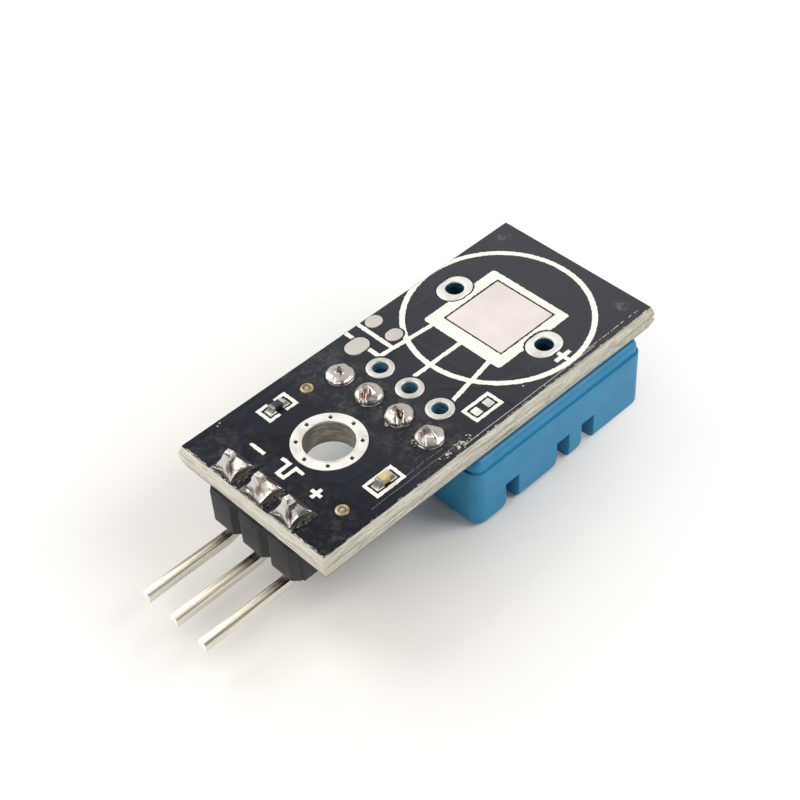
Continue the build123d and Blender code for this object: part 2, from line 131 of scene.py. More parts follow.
# %% Node helpers
def add(tree, kind, inputs=None, **settings):
    """One shader node; its inputs are given as numbers, colours or other nodes' sockets."""
    made = tree.nodes.new("ShaderNode" + kind)
    for key, value in settings.items():
        setattr(made, key, value)
    for key, value in (inputs or {}).items():
        if isinstance(value, bpy.types.NodeSocket):
            tree.links.new(value, made.inputs[key])
        else:
            made.inputs[key].default_value = value
    return made


def rgba(color):
    """A colour for a socket, from linear channels or a six-figure screen colour."""
    if isinstance(color, str):
        channels = [int(color[i:i + 2], 16) / 255 for i in (0, 2, 4)]
        color = [c / 12.92 if c <= 0.04045 else ((c + 0.055) / 1.055) ** 2.4 for c in channels]
    return (*color[:3], 1.0)


print("middle grey on the screen is", round(rgba("808080")[0], 3), "as light")

# %% [markdown]
# Most patterns come down to three things: a ramp turns a grey value into colours, a span
# stretches part of a value to a new range, and a little arithmetic joins values.


# %% Ramps, spans and arithmetic
def ramp(tree, value, *stops):
    """A colour ramp over a 0 to 1 value; stops are (position, colour)."""
    made = add(tree, "ValToRGB", {"Fac": value})
    band = made.color_ramp
    while len(band.elements) < len(stops):
        band.elements.new(0.5)
    for element, (position, color) in zip(band.elements, stops):
        element.position = position
        element.color = rgba(color)
    return made.outputs["Color"]


def span(tree, value, low, high, to_low=0.0, to_high=1.0, **settings):
    """Stretches the part of a value between low and high to a new range."""
    return add(tree, "MapRange", {"Value": value, "From Min": low, "From Max": high,
                                  "To Min": to_low, "To Max": to_high}, **settings).outputs["Result"]


def math_node(tree, operation, a, b=0.0):
    return add(tree, "Math", {0: a, 1: b}, operation=operation).outputs[0]


def times(tree, a, b):
    return math_node(tree, "MULTIPLY", a, b)


def larger(tree, a, b):
    return math_node(tree, "MAXIMUM", a, b)


print("node helpers ready")

# %% [markdown]
# The world is dark near the horizon, so hardly any light gets under the board. Polished
# metal only looks like metal when it has something dark to reflect, so rays that bounce
# off a gloss see a room that is white all round and dark behind the camera, while the
# camera itself sees plain white.

# %% World
FILL_STRENGTH = 0.46
ROOM_AXIS = (-0.76, -0.40, 0.51)
world = bpy.data.worlds.new("bright_tent")
scene.world = world
world.use_nodes = True
sky = world.node_tree
sky.nodes.clear()
direction = add(sky, "TexCoord").outputs["Generated"]
toward_room = add(sky, "VectorMath", {0: direction, 1: ROOM_AXIS}, operation="DOT_PRODUCT")
room = ramp(sky, span(sky, toward_room.outputs["Value"], -0.2, 0.95), (0.0, (1.0, 1.0, 1.0)),
            (0.42, (0.80, 0.80, 0.81)), (0.68, (0.14, 0.14, 0.15)), (1.0, (0.05, 0.05, 0.06)))
height = add(sky, "SeparateXYZ", {"Vector": direction}).outputs["Z"]
overhead = ramp(sky, height, (0.0, (0.04, 0.04, 0.045)), (0.25, (0.13, 0.135, 0.14)),
                (0.6, (0.77, 0.78, 0.80)), (1.0, (1.0, 1.0, 1.0)))
path = add(sky, "LightPath")
shiny = larger(sky, path.outputs["Is Glossy Ray"], path.outputs["Is Transmission Ray"])
gloss_side = add(sky, "Background", {"Color": room, "Strength": 1.0})
fill_side = add(sky, "Background", {"Color": overhead, "Strength": FILL_STRENGTH})
plain = add(sky, "Background", {"Color": (1.0, 1.0, 1.0, 1.0), "Strength": 1.0})
first = add(sky, "MixShader", {0: shiny, 1: fill_side.outputs[0], 2: gloss_side.outputs[0]})
seen = add(sky, "MixShader", {0: path.outputs["Is Camera Ray"], 1: first.outputs[0], 2: plain.outputs[0]})
add(sky, "OutputWorld", {"Surface": seen.outputs[0]})
print("world:", len(sky.nodes), "nodes")

# %% [markdown]
# Three square soft boxes light the module: one to the right, one to the left and one
# behind. Their places are easier to think of from the module, so each is given as a place
# and an aim in millimetres.


# %% Lamps
def lamp(name, place, aim, size, watts, color=(1.0, 1.0, 1.0)):
    """A square soft box, placed and aimed in millimetres."""
    light = bpy.data.lights.new(name, "AREA")
    light.shape = "SQUARE"
    light.size = size * MM
    light.energy = watts
    light.color = color
    lit = bpy.data.objects.new(name, light)
    lit.location = Vector(place) * MM
    lit.rotation_euler = (Vector(aim) - Vector(place)).to_track_quat("-Z", "Y").to_euler()
    scene.collection.objects.link(lit)


lamp("key_lamp", (90, -100, 120), (4, 0, 4), 90, 0.142, (1.0, 0.98, 0.95))
lamp("left_lamp", (-120, 0, 120), (0, 0, 4), 110, 0.118, (1.0, 0.98, 0.95))
lamp("back_lamp", (-30, 108, 122), (0, 0, 4), 90, 0.10, (1.0, 0.99, 0.97))
scene.view_settings.view_transform = "Standard"

# %% [markdown]
# The floor is one big face. Close to the module it is lit like real paper, so the shadow
# under the board stays deep. Farther out the paper gives way to plain white in a smooth
# ring, and the floor fades into the background.


# %% Floor
def distance(tree, a, b):
    return add(tree, "VectorMath", {0: a, 1: b}, operation="DISTANCE").outputs["Value"]


RING_CENTRE = (-0.003, 0.0015, 0.0)
RING_INSIDE, RING_OUTSIDE = 0.010, 0.029
floor_mesh = bpy.data.meshes.new("floor")
bm = bmesh.new()
bmesh.ops.create_grid(bm, x_segments=1, y_segments=1, size=2.0)
bm.to_mesh(floor_mesh)
bm.free()
floor = bpy.data.objects.new("floor", floor_mesh)
floor_mesh.transform(Matrix.Translation((0.0, 0.0, -0.01 * MM)))
scene.collection.objects.link(floor)
paper = bpy.data.materials.new("white_paper")
paper.use_nodes = True
tree = paper.node_tree
tree.nodes.clear()
path = add(tree, "LightPath")
shown = larger(tree, path.outputs["Is Camera Ray"], path.outputs["Is Glossy Ray"])
from_centre = distance(tree, add(tree, "TexCoord").outputs["Object"], RING_CENTRE)
far_out = span(tree, from_centre, RING_INSIDE, RING_OUTSIDE, interpolation_type="SMOOTHSTEP")
share = times(tree, shown, far_out)
matt = add(tree, "BsdfDiffuse", {"Color": (0.93, 0.91, 0.875, 1.0)})
glow = add(tree, "Emission", {"Color": (1.0, 1.0, 0.995, 1.0), "Strength": 1.02})
both = add(tree, "MixShader", {0: share, 1: matt.outputs[0], 2: glow.outputs[0]})
add(tree, "OutputMaterial", {"Surface": both.outputs[0]})
floor_mesh.materials.append(paper)
print("floor", [round(v, 2) for v in floor.dimensions])

# %% [markdown]
# ## A workshop for surfaces
# Every finish is a Principled shader fed by procedural patterns on Object coordinates,
# scaled so that one unit is a millimetre. Patterns that live in the object's own space
# stay put when the camera moves.


# %% Surface helpers
def finish(name, color, roughness, metallic=0.0, **sockets):
    """A new material with its plain values set on the shader; returns it with its shader."""
    made = bpy.data.materials.new(name)
    made.use_nodes = True
    shader = made.node_tree.nodes["Principled BSDF"]
    shader.inputs["Base Color"].default_value = rgba(color)
    shader.inputs["Roughness"].default_value = roughness
    shader.inputs["Metallic"].default_value = metallic
    for key, value in sockets.items():
        shader.inputs[key.replace("_", " ")].default_value = value
    return made, made.node_tree, shader


def place_mm(tree, stretch=(1.0, 1.0, 1.0), turn=0.0):
    """Object coordinates in millimetres, stretched and turned about the upright axis."""
    coords = add(tree, "TexCoord").outputs["Object"]
    scale = tuple(s / MM for s in stretch)
    return add(tree, "Mapping", {"Vector": coords, "Scale": scale,
                                 "Rotation": (0.0, 0.0, turn)}).outputs["Vector"]


def axis_mm(tree, axis):
    """One Object coordinate in millimetres."""
    return add(tree, "SeparateXYZ", {"Vector": place_mm(tree)}).outputs[axis]


def grain(tree, scale, detail=3.0, roughness=0.5, stretch=(1.0, 1.0, 1.0), turn=0.0):
    """Noise from 0 to 1; scale is in lumps per millimetre."""
    made = add(tree, "TexNoise", {"Vector": place_mm(tree, stretch, turn), "Scale": scale,
                                  "Detail": detail, "Roughness": roughness})
    return made.outputs["Fac"]


print("one unit of a pattern is", MM, "m")

# %% [markdown]
# The patterns then have to be compared, mixed and led into the shader. The mix node holds
# sockets for several kinds of data under the same names, so its inputs go by number.


# %% Mixing and feeding
def plus(tree, a, b):
    return math_node(tree, "ADD", a, b)


def above(tree, a, b):
    return math_node(tree, "GREATER_THAN", a, b)


def below(tree, a, b):
    return math_node(tree, "LESS_THAN", a, b)


def feed(shader, **sockets):
    """Links values to a shader's inputs; an underscore in a name stands for a space."""
    for key, value in sockets.items():
        shader.id_data.links.new(value, shader.inputs[key.replace("_", " ")])


def blend_color(tree, amount, a, b):
    """Mixes two colours, each a socket or a plain colour, by an amount from 0 to 1."""
    made = tree.nodes.new("ShaderNodeMix")
    made.data_type = "RGBA"
    for index, value in ((0, amount), (6, a), (7, b)):
        if isinstance(value, bpy.types.NodeSocket):
            tree.links.new(value, made.inputs[index])
        else:
            made.inputs[index].default_value = value if index == 0 else rgba(value)
    return made.outputs[2]


def relief(tree, shader, height, depth_mm, strength=1.0):
    """Feeds a bump of the given depth to a shader."""
    made = add(tree, "Bump", {"Height": height, "Distance": depth_mm * MM, "Strength": strength})
    feed(shader, Normal=made.outputs["Normal"])


print("surface helpers ready")

# %% [markdown]
# ### Black lacquer
# Solder mask is a thin glossy paint. Close up it is never one black: it has a soft orange
# peel, faint rub marks in two directions, and a grey crust of flux round the solder
# joints. Its reflection is also turned up towards the far end, a painted sheen. The black
# and its marks are built up one over another, like coats. Noise stretched along one axis
# makes the rub marks.

# %% Lacquer: black and rub marks
black_lacquer, tree, shader = finish("black_lacquer", "14151A", 0.3)
x_mm, y_mm = axis_mm(tree, "X"), axis_mm(tree, "Y")
tone = ramp(tree, grain(tree, 0.35, 4.0, 0.6), (0.35, "0B0E17"), (0.62, "171B26"))
rubs = grain(tree, 2.2, 3.0, 0.6, stretch=(0.5, 9.0, 1.0), turn=0.72)
more_rubs = grain(tree, 2.0, 3.0, 0.6, stretch=(9.0, 0.35, 1.0), turn=0.12)
rub_amount = plus(tree, span(tree, rubs, 0.66, 0.80), span(tree, more_rubs, 0.68, 0.82))
patchy = span(tree, grain(tree, 0.45, 2.0), 0.46, 0.66)
rub_amount = times(tree, times(tree, rub_amount, patchy), 0.35)
worn = blend_color(tree, rub_amount, tone, "6A6C76")
print("rub marks:", len(tree.nodes), "nodes")

# %% [markdown]
# Two small scuffs lie near the far corners. Each is a round zone round a place, broken up
# by a threshold on fine noise.

# %% Lacquer: scuffs
scuffs = 0.0
for x, y in ((BOARD_END - 1.2, HALF_WIDTH - 0.9), (BOARD_END - 1.15, 1.4 - HALF_WIDTH)):
    far = distance(tree, place_mm(tree), (x, y, LACQUER_TOP))
    scuffs = larger(tree, span(tree, far, 0.25, 0.60, 1.0, 0.0), scuffs)
scuffs = times(tree, scuffs, span(tree, grain(tree, 5.0, 2.0, 0.6), 0.50, 0.58, 0.0, 0.38))
worn = blend_color(tree, scuffs, worn, "7A7C82")
print("scuffs:", len(tree.nodes), "nodes")

# %% [markdown]
# The grey crust of flux keeps to two bands across the board, one at each row of joints.
# Inside them more of the fine noise counts as crust, and more single specks show.


# %% Lacquer: crust and specks
def band(value, centre, full, empty):
    """1 within `full` of a centre, falling to 0 at `empty`."""
    away = math_node(tree, "ABSOLUTE", math_node(tree, "SUBTRACT", value, centre))
    return span(tree, away, full, empty, 1.0, 0.0)


lead_zone = band(x_mm, LEAD_SPOTS[0][0] - 0.5, 1.0, 2.6)
pin_zone = times(tree, band(x_mm, HEADER_SPOTS[0][0], 0.6, 3.4), 0.75)
crust_zone = larger(tree, lead_zone, pin_zone)
crust = times(tree, span(tree, grain(tree, 1.5, 8.0, 0.78), 0.50, 0.64), crust_zone)
speck_limit = span(tree, crust_zone, 0.0, 1.0, 0.76, 0.685)
specks = above(tree, grain(tree, 5.0, 3.0, 0.7), speck_limit)
crusted = blend_color(tree, times(tree, crust, 0.55), worn, "56534F")
spotted = blend_color(tree, times(tree, specks, 0.5), crusted, "9A9894")
print("crust:", len(tree.nodes), "nodes")

# %% [markdown]
# Long scratches run beside the snapped edge. A scratch is every place whose distance
# across the board is nearly one value. Slow noise makes it wander, and fine noise breaks it.
# The colour, the roughness and the bump then go into the shader.

# %% Lacquer: scratches, and into the shader
wander = times(tree, grain(tree, 0.4, 2.0, 0.5), 0.12)
broken = grain(tree, 4.0, 1.0, 0.5, stretch=(1.0, 0.05, 1.0))


def scratch(across, start, end, gaps=0.40, half=0.018):
    """A thin broken line along the board."""
    line = math_node(tree, "COMPARE", plus(tree, y_mm, wander), across)
    line.node.inputs[2].default_value = half
    length = times(tree, above(tree, x_mm, BOARD_START + start), below(tree, x_mm, BOARD_START + end))
    return times(tree, times(tree, line, length), above(tree, broken, gaps))


lines = larger(tree, scratch(-5.83, 11.2, 22.6, 0.30), scratch(-5.70, 21.8, 26.8, 0.46, 0.02))
faint = larger(tree, scratch(-5.45, 4.2, 11.0, 0.36, 0.012), scratch(-5.05, 6.4, 10.6, 0.45, 0.012))
lines = larger(tree, lines, times(tree, faint, 0.45))
# painted sheen: the specular level rises from the header end towards the far end
feed(shader, Base_Color=blend_color(tree, lines, spotted, "C9C8C2"),
     Roughness=span(tree, grain(tree, 0.9, 4.0, 0.65), 0.3, 0.7, 0.22, 0.40),
     Specular_IOR_Level=span(tree, x_mm, BOARD_START + 3.0, BOARD_END - 5.0, 0.16, 0.62))
marks = plus(tree, plus(tree, rub_amount, scuffs), times(tree, crust, 1.6))
peel = plus(tree, times(tree, grain(tree, 3.0, 3.0), 0.5), marks)
relief(tree, shader, peel, 0.014)
print("black lacquer:", len(tree.nodes), "nodes")

# %% [markdown]
# ### Snapped laminate
# The cut edge of the board shows its glass cloth: pale straw layers about a fifth of a
# millimetre thick, streaked along the board, with long dark cracks between them. Noise that
# is squeezed in Z and drawn out along the edge gives those layers. The faces under the
# lacquer are dark, as they are in the thin gaps round the pads, so the upright position
# decides between the two.

# %% Laminate
laminate, tree, shader = finish("snapped_laminate", "CFCBB4", 0.8)
layers = grain(tree, 1.0, 3.0, 0.6, stretch=(0.22, 0.22, 5.0))
fibres = grain(tree, 1.0, 5.0, 0.75, stretch=(0.9, 0.9, 16.0))
hairs = grain(tree, 1.0, 4.0, 0.7, stretch=(0.6, 0.6, 40.0))
straw = ramp(tree, layers, (0.30, "DAD5BF"), (0.45, "F4F0DE"), (0.60, "FDFBF0"), (0.75, "E6E1CC"))
streaked = blend_color(tree, span(tree, fibres, 0.50, 0.66, 0.0, 0.70), straw, "96907C")
streaked = blend_color(tree, span(tree, hairs, 0.55, 0.65, 0.0, 0.72), streaked, "605A4B")
cracks = grain(tree, 1.0, 3.0, 0.65, stretch=(0.10, 0.10, 9.0))
streaked = blend_color(tree, span(tree, cracks, 0.54, 0.60, 0.0, 0.52), streaked, "7D7560")
# painted light: the header-end face is lightened towards pale cream, as if lit from that side
end_face_painted_light = span(tree, axis_mm(tree, "X"), BOARD_START + 0.1, BOARD_START + 0.5, 0.35, 0.0)
streaked = blend_color(tree, end_face_painted_light, streaked, "FCF6E6")
from_middle = math_node(tree, "SUBTRACT", axis_mm(tree, "Z"), (BOARD_TOP + BOARD_BOTTOM) / 2)
from_middle = math_node(tree, "ABSOLUTE", from_middle)
under_paint = above(tree, from_middle, (BOARD_TOP - BOARD_BOTTOM) / 2 - 0.012)
feed(shader, Base_Color=blend_color(tree, under_paint, streaked, "15161A"))
relief(tree, shader, plus(tree, fibres, math_node(tree, "SUBTRACT", hairs, cracks)), 0.06)
print("laminate:", len(tree.nodes), "nodes")

# %% [markdown]
# ### White ink
# The ink is thick and chalky, a warm white with faint clouds.

# %% White ink
white_ink, tree, shader = finish("white_ink", "F7F8EE", 0.55)
feed(shader, Base_Color=ramp(tree, grain(tree, 1.6, 4.0, 0.65), (0.35, "EDEEE2"), (0.6, "FAFBF2")))
relief(tree, shader, grain(tree, 9.0, 3.0), 0.012)
print("white ink:", len(tree.nodes), "nodes")

# %% [markdown]
# ### Tinned copper
# The pads are copper dipped in tin: a metal, but a soft cloudy one, so the roughness
# varies in patches and a fine bump breaks up the reflection. The walls inside the holes
# are painted darker, a painted shade, and over the case bluish and less glossy, a painted
# reflection of the case; the upright position chooses their tone.


# %% Tin
def tin_finish(name, dark, light, low, high, bore=None):
    """Dull tin: faint clouds, patchy roughness and a soft bump; given bore colours, the hole walls get
    painted shade and, over the case, a painted reflection in those colours.
    """
    made, tree, shader = finish(name, light, 0.4, 0.55)
    clouds = grain(tree, 0.9, 4.0, 0.55)
    skin = ramp(tree, clouds, (0.32, dark), (0.58, light))
    if bore:
        deep = below(tree, axis_mm(tree, "Z"), BOARD_TOP - 0.04)
        case_reflection_zone = times(tree, deep, above(tree, axis_mm(tree, "X"), 0.0))
        streaks = grain(tree, 1.2, 5.0, 0.7, stretch=(1.0, 1.0, 5.0))
        # painted shade: darker streaked greys on the walls inside the holes
        wall = ramp(tree, streaks, (0.30, "5E5B53"), (0.5, "87837A"), (0.70, "B5B1A8"))
        skin = blend_color(tree, deep, skin, wall)
        # painted reflection: over the case the walls take the bore colours, the case's blue, and lose
        # gloss
        skin = blend_color(tree, case_reflection_zone, skin, ramp(tree, streaks, (0.4, bore[0]), (0.65, bore[1])))
        feed(shader, Metallic=span(tree, case_reflection_zone, 0.0, 1.0, 0.55, 0.1),
             Specular_IOR_Level=span(tree, case_reflection_zone, 0.0, 1.0, 0.5, 0.2))
    feed(shader, Base_Color=skin, Roughness=span(tree, grain(tree, 5.0, 3.0), 0.3, 0.7, low, high))
    relief(tree, shader, grain(tree, 3.0, 4.0, 0.6), 0.009)
    return made


# the bore colours are a painted reflection of the blue case
dull_tin = tin_finish("dull_tin", "D2CFC8", "F2EFE8", 0.34, 0.5, bore=("102431", "2C5A74"))
grey_tin = tin_finish("grey_tin", "BDBBB5", "D8D5CF", 0.34, 0.5, bore=("24485A", "5E95AC"))
chip_tin = tin_finish("chip_tin", "6F6B65", "BDB8B0", 0.25, 0.45)
bronze_tin = tin_finish("bronzed_tin", "7C6B4C", "C0AD88", 0.3, 0.5)
print("tin finishes:", [m.name for m in (dull_tin, grey_tin, chip_tin, bronze_tin)])

# %% [markdown]
# The bigger square pad has aged to a pinkish white and the oval ones to a pinkish grey,
# both nearly without gloss.


# %% Aged tin
def rosy_finish(name, dark, light):
    """Aged tin of a flat pad: nearly even, with the faintest clouds."""
    made, tree, shader = finish(name, light, 0.5, 0.15)
    feed(shader, Base_Color=ramp(tree, grain(tree, 0.5, 4.0, 0.5), (0.3, dark), (0.7, light)))
    relief(tree, shader, grain(tree, 5.0, 4.0), 0.005)
    return made


rosy_tin = rosy_finish("rosy_tin", "E3D9D3", "EEE4DE")
grey_rosy_tin = rosy_finish("grey_rosy_tin", "C3BDB7", "CFC9C4")
print("aged tin:", rosy_tin.name, grey_rosy_tin.name)

# %% [markdown]
# ### Solder
# Solder freezes with a mirror skin. Coppery brown patches are painted on it: partly stains of
# burnt flux, partly painted shade beside the knobs and on the sides toward the camera. They sit
# where the photograph shows them, so their places are listed as the camera sees them.

# %% Places of the stains
COS_45 = 0.7071


def on_joint(spot, right, up):
    """A place on a joint, measured to the right and upwards as the camera sees it."""
    return spot[0] + (right + up) * COS_45, spot[1] + (up - right) * COS_45


# each stain or patch of painted shade: its place, its height above the pad and its radius
STAINS_AND_SHADE = [(*on_joint(spot, -0.12, -0.55), 0.48, 0.36) for spot in HEADER_SPOTS]
STAINS_AND_SHADE += [(*on_joint(LEAD_SPOTS[i], right, up), lift, size) for i, right, up, lift, size in (
    (3, 0.06, -0.24, 0.42, 0.20), (2, -0.22, -0.35, 0.42, 0.46),
    (1, 0.02, -0.20, 0.50, 0.30), (0, -0.32, 0.05, 0.36, 0.30))]
print("stains:", len(STAINS_AND_SHADE))

# %% [markdown]
# Each patch of stain and painted shade fades out over its own radius. A dark film lies in
# the low corners, so it depends only on the height above the pads. The joints of the sensor
# are duller and more wrinkled than those of the header, so the place along the board blends
# the two.

# %% Solder
solder, tree, shader = finish("bright_solder", "E2DCD6", 0.2, 1.0)
grime = span(tree, grain(tree, 1.6, 3.0, 0.6), 0.60, 0.72, 0.0, 0.55)
sensor_side = span(tree, axis_mm(tree, "X"), BOARD_START + 3.0, BOARD_START + 8.0)
clean = blend_color(tree, sensor_side, "D8D3CD", "BDB6AF")
skin = blend_color(tree, grime, clean, "7C726A")
spot_mm = place_mm(tree)
# painted: coppery brown patches, partly flux stains and partly painted shade
stain_and_shade = 0.0
for x, y, lift, size in STAINS_AND_SHADE:
    far = distance(tree, spot_mm, (x, y, PAD_TOP + lift))
    stain_and_shade = larger(tree, span(tree, far, 0.55 * size, size, 1.0, 0.0), stain_and_shade)
skin = blend_color(tree, times(tree, stain_and_shade, 0.85), skin, "8F6F60")
flux = span(tree, axis_mm(tree, "Z"), PAD_TOP + 0.02, PAD_TOP + 0.07, 1.0, 0.0)
smooth_skin = span(tree, grain(tree, 1.2, 2.0), 0.3, 0.75, 0.15, 0.28)
feed(shader, Base_Color=blend_color(tree, flux, skin, "2E2925"),
     Metallic=span(tree, flux, 0.0, 1.0, 1.0, 0.2),
     Roughness=plus(tree, smooth_skin, times(tree, sensor_side, 0.08)))
wrinkles = times(tree, grain(tree, 2.4, 4.0, 0.6), span(tree, sensor_side, 0.0, 1.0, 0.6, 1.0))
relief(tree, shader, wrinkles, 0.06)
print("solder:", len(tree.nodes), "nodes")

# %% [markdown]
# ### Pins
# The pins are drawn wire, beige and streaked, and bright along the edge. Their top face is
# painted darker than the sides, a painted shade, and the cut tip is painted white, a painted
# highlight. Noise drawn out along the wire makes the streaks.

# %% Pins
pin_metal, tree, shader = finish("plated_pin", "DAD5CB", 0.2, 1.0)
drawn = grain(tree, 1.5, 3.0, 0.5, stretch=(0.12, 5.0, 5.0))
# painted shade: a darker copy of the pin's tone on the top face, a lighter one on the sides
side_lit_tone = ramp(tree, drawn, (0.35, "CFC8BA"), (0.62, "F0ECE4"))
top_painted_shade = ramp(tree, drawn, (0.35, "8F877A"), (0.65, "C2BAAC"))
upper = above(tree, axis_mm(tree, "Z"), PIN_TOP - 0.015)
# painted highlight: the cut tip is painted white and made less metallic
tip_painted_highlight = below(tree, axis_mm(tree, "X"), PIN_TIP + 0.03)
pin_lit_and_shaded = blend_color(tree, upper, side_lit_tone, top_painted_shade)
feed(shader, Base_Color=blend_color(tree, tip_painted_highlight, pin_lit_and_shaded, "FFFFFF"),
     Metallic=span(tree, tip_painted_highlight, 0.0, 1.0, 1.0, 0.3),
     Roughness=span(tree, drawn, 0.3, 0.7, 0.14, 0.28))
relief(tree, shader, drawn, 0.006)
print("pins:", len(tree.nodes), "nodes")

# %% [markdown]
# ### Plastics
# The header strip is a glass-filled black plastic, and the case a satin blue moulding with
# a little grain. Both are nearly even, so the fine bump does most of the work.

# %% Plastics
header_black, tree, shader = finish("header_black", "232428", 0.5)
feed(shader, Base_Color=ramp(tree, grain(tree, 3.0, 4.0), (0.35, "111319"), (0.65, "1B1E25")))
relief(tree, shader, grain(tree, 14.0, 3.0), 0.012)
case_blue, tree, shader = finish("satin_blue", "3585AE", 0.42, Specular_IOR_Level=0.36)
feed(shader, Base_Color=ramp(tree, grain(tree, 0.25, 3.0), (0.35, "2583B2"), (0.65, "3191BF")),
     Roughness=span(tree, grain(tree, 2.0, 3.0), 0.3, 0.7, 0.34, 0.44))
relief(tree, shader, grain(tree, 16.0, 2.0), 0.004)
print("plastics:", header_black.name, case_blue.name)

# %% [markdown]
# ### Small parts and what is inside the case
# The two chips on the board are tiny glazed ceramic blocks. Inside the case a green board
# carries a pale moisture plate, a glass bead and a drop of black resin. They show only
# through the slots, but each still has its own finish.


# %% Small finishes
def speckled(name, dark, light, roughness, scale=4.0, bump=0.01):
    """A mottled non-metal for small parts."""
    made, tree, shader = finish(name, light, roughness)
    cloud = grain(tree, scale, 4.0, 0.6)
    feed(shader, Base_Color=ramp(tree, cloud, (0.35, dark), (0.65, light)))
    relief(tree, shader, cloud, bump)
    return made


dark_glaze = speckled("dark_glaze", "1C1C20", "303036", 0.3)
tan_ceramic = speckled("tan_ceramic", "CDB27A", "E2CD9C", 0.45)
green_board = speckled("green_board", "1D5238", "2C6E4B", 0.4, 1.5)
pale_plate = speckled("pale_plate", "CFC9B8", "E4DFD2", 0.6, 6.0)
dark_bead = speckled("dark_bead", "1A1512", "33291F", 0.2)
black_resin = speckled("black_resin", "0E0E10", "1C1C1F", 0.25, 1.0)
via_fill = speckled("via_fill", "6E695E", "B4AE9F", 0.35, 3.0)
loose_fibre = speckled("loose_fibre", "C9C6BA", "F4F2E8", 0.6)
print("small finishes ready")

# %% [markdown]
# ## Working with meshes
# Each piece is made in a bmesh in millimetres. `settle` scales it, gives it smooth faces
# with crisp edges above an angle, hides the CAD nodes it stands for and lets it ride on
# the module. Where large flat faces meet narrow bevels, plain smoothing would make the flat
# faces look bent, so the case has its normals weighted by face size instead.


# %% Finished pieces
def even_normals(mesh, smooth_limit=0.7):
    """Weights each corner's normal by face size, so that flat faces stay flat beside their bevels."""
    around = [[] for _ in mesh.vertices]
    for face in mesh.polygons:
        for index in face.vertices:
            around[index].append(face)
    normals = []
    for face in mesh.polygons:
        for index in face.vertices:
            total = Vector((0.0, 0.0, 0.0))
            for other in around[index]:
                if other.normal.dot(face.normal) > smooth_limit:
                    total += other.normal * (other.area / MM / MM)
            normals.append(total.normalized() if total.length > 0.0 else face.normal)
    mesh.normals_split_custom_set(normals)


def settle(name, bm, material, slot, *stands_for, sharp=32.0, even=False):
    """Turns a bmesh in millimetres into a finished piece of the module."""
    bmesh.ops.scale(bm, vec=(MM, MM, MM), verts=bm.verts)
    mesh = bpy.data.meshes.new(name)
    bm.to_mesh(mesh)
    bm.free()
    mesh.materials.append(material)
    mesh.shade_smooth()
    if even:
        even_normals(mesh)
    else:
        mesh.set_sharp_from_angle(angle=math.radians(sharp))
    piece = bpy.data.objects.new(name, mesh)
    scene.collection.objects.link(piece)
    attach(piece, "root")
    if stands_for:
        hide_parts(*stands_for)
    print(name, len(mesh.polygons), "faces")


print("CAD nodes to dress:", len(nodes))

# %% [markdown]
# A CAD node's own mesh is loose triangles, and it is left as it is. A copy of it is welded
# before use. Shapes that are made one at a time are gathered into one bmesh.


# %% Copies and gathering
def welded_copy(node, flatten=True):
    """The CAD node as one joined mesh in millimetres; flatten joins faces within one degree."""
    bm = bmesh.new()
    bm.from_mesh(nodes[node].data)
    bmesh.ops.scale(bm, vec=(1 / MM, 1 / MM, 1 / MM), verts=bm.verts)
    bmesh.ops.remove_doubles(bm, verts=bm.verts, dist=0.0006)
    if flatten:
        bmesh.ops.dissolve_limit(bm, angle_limit=math.radians(1.0), verts=bm.verts, edges=bm.edges)
    return bm


def absorb(bm, single):
    """Adds a finished bmesh to a larger one."""
    mesh = bpy.data.meshes.new("single")
    single.to_mesh(mesh)
    single.free()
    bm.from_mesh(mesh)
    bpy.data.meshes.remove(mesh)


print("largest CAD node:", max(nodes, key=lambda name: len(nodes[name].data.polygons)))

# %% [markdown]
# Nearly every piece is cut, capped or bevelled somewhere. The bevel operator's defaults
# differ from the editor's, so they are set once, here.


# %% Cuts, caps and bevels
def cut(bm, place, normal, **clear):
    """Cuts through the whole mesh along a plane."""
    bmesh.ops.bisect_plane(bm, geom=bm.verts[:] + bm.edges[:] + bm.faces[:], dist=0.0001,
                           plane_co=place, plane_no=normal, **clear)


def cap(bm):
    """Closes whatever is open with a face."""
    bmesh.ops.contextual_create(bm, geom=[e for e in bm.edges if e.is_boundary])


def bevel(bm, geom, offset, segments, affect="EDGES", **limits):
    bmesh.ops.bevel(bm, geom=geom, offset=offset, segments=segments, profile=0.5, affect=affect,
                    material=-1, **limits)


def soften(bm, offset, segments=2):
    """Bevels every edge that turns by more than 30 degrees."""
    limit = math.radians(30.0)
    keen = [e for e in bm.edges if len(e.link_faces) == 2 and e.calc_face_angle(0.0) > limit]
    bevel(bm, keen, offset, segments, clamp_overlap=True)


def clamp(value, low=0.0, high=1.0):
    return max(low, min(high, value))


def wobble(x, y, z):
    """Smooth noise from about -1 to 1."""
    return noise.noise(Vector((x, y, z)))


print("noise at one place:", round(wobble(0.5, 0.5, 0.5), 3))

# %% [markdown]
# Films, pads and marks are all flat plates. Each starts as loops of edges. `triangle_fill`
# closes what lies between the loops, and an extrusion raises it to a plate.


# %% Outlines and plates
def round_loop(bm, x, y, z, length, width=None, segments=64):
    """Edges of a circle, or of a round-ended slot when it is longer than wide."""
    width = width or length
    verts = bmesh.ops.create_circle(bm, cap_ends=False, radius=width / 2, segments=segments)["verts"]
    for v in verts:
        v.co.x += math.copysign((length - width) / 2, v.co.x)
    bmesh.ops.translate(bm, verts=verts, vec=(x, y, z))
    return list({e for v in verts for e in v.link_edges})


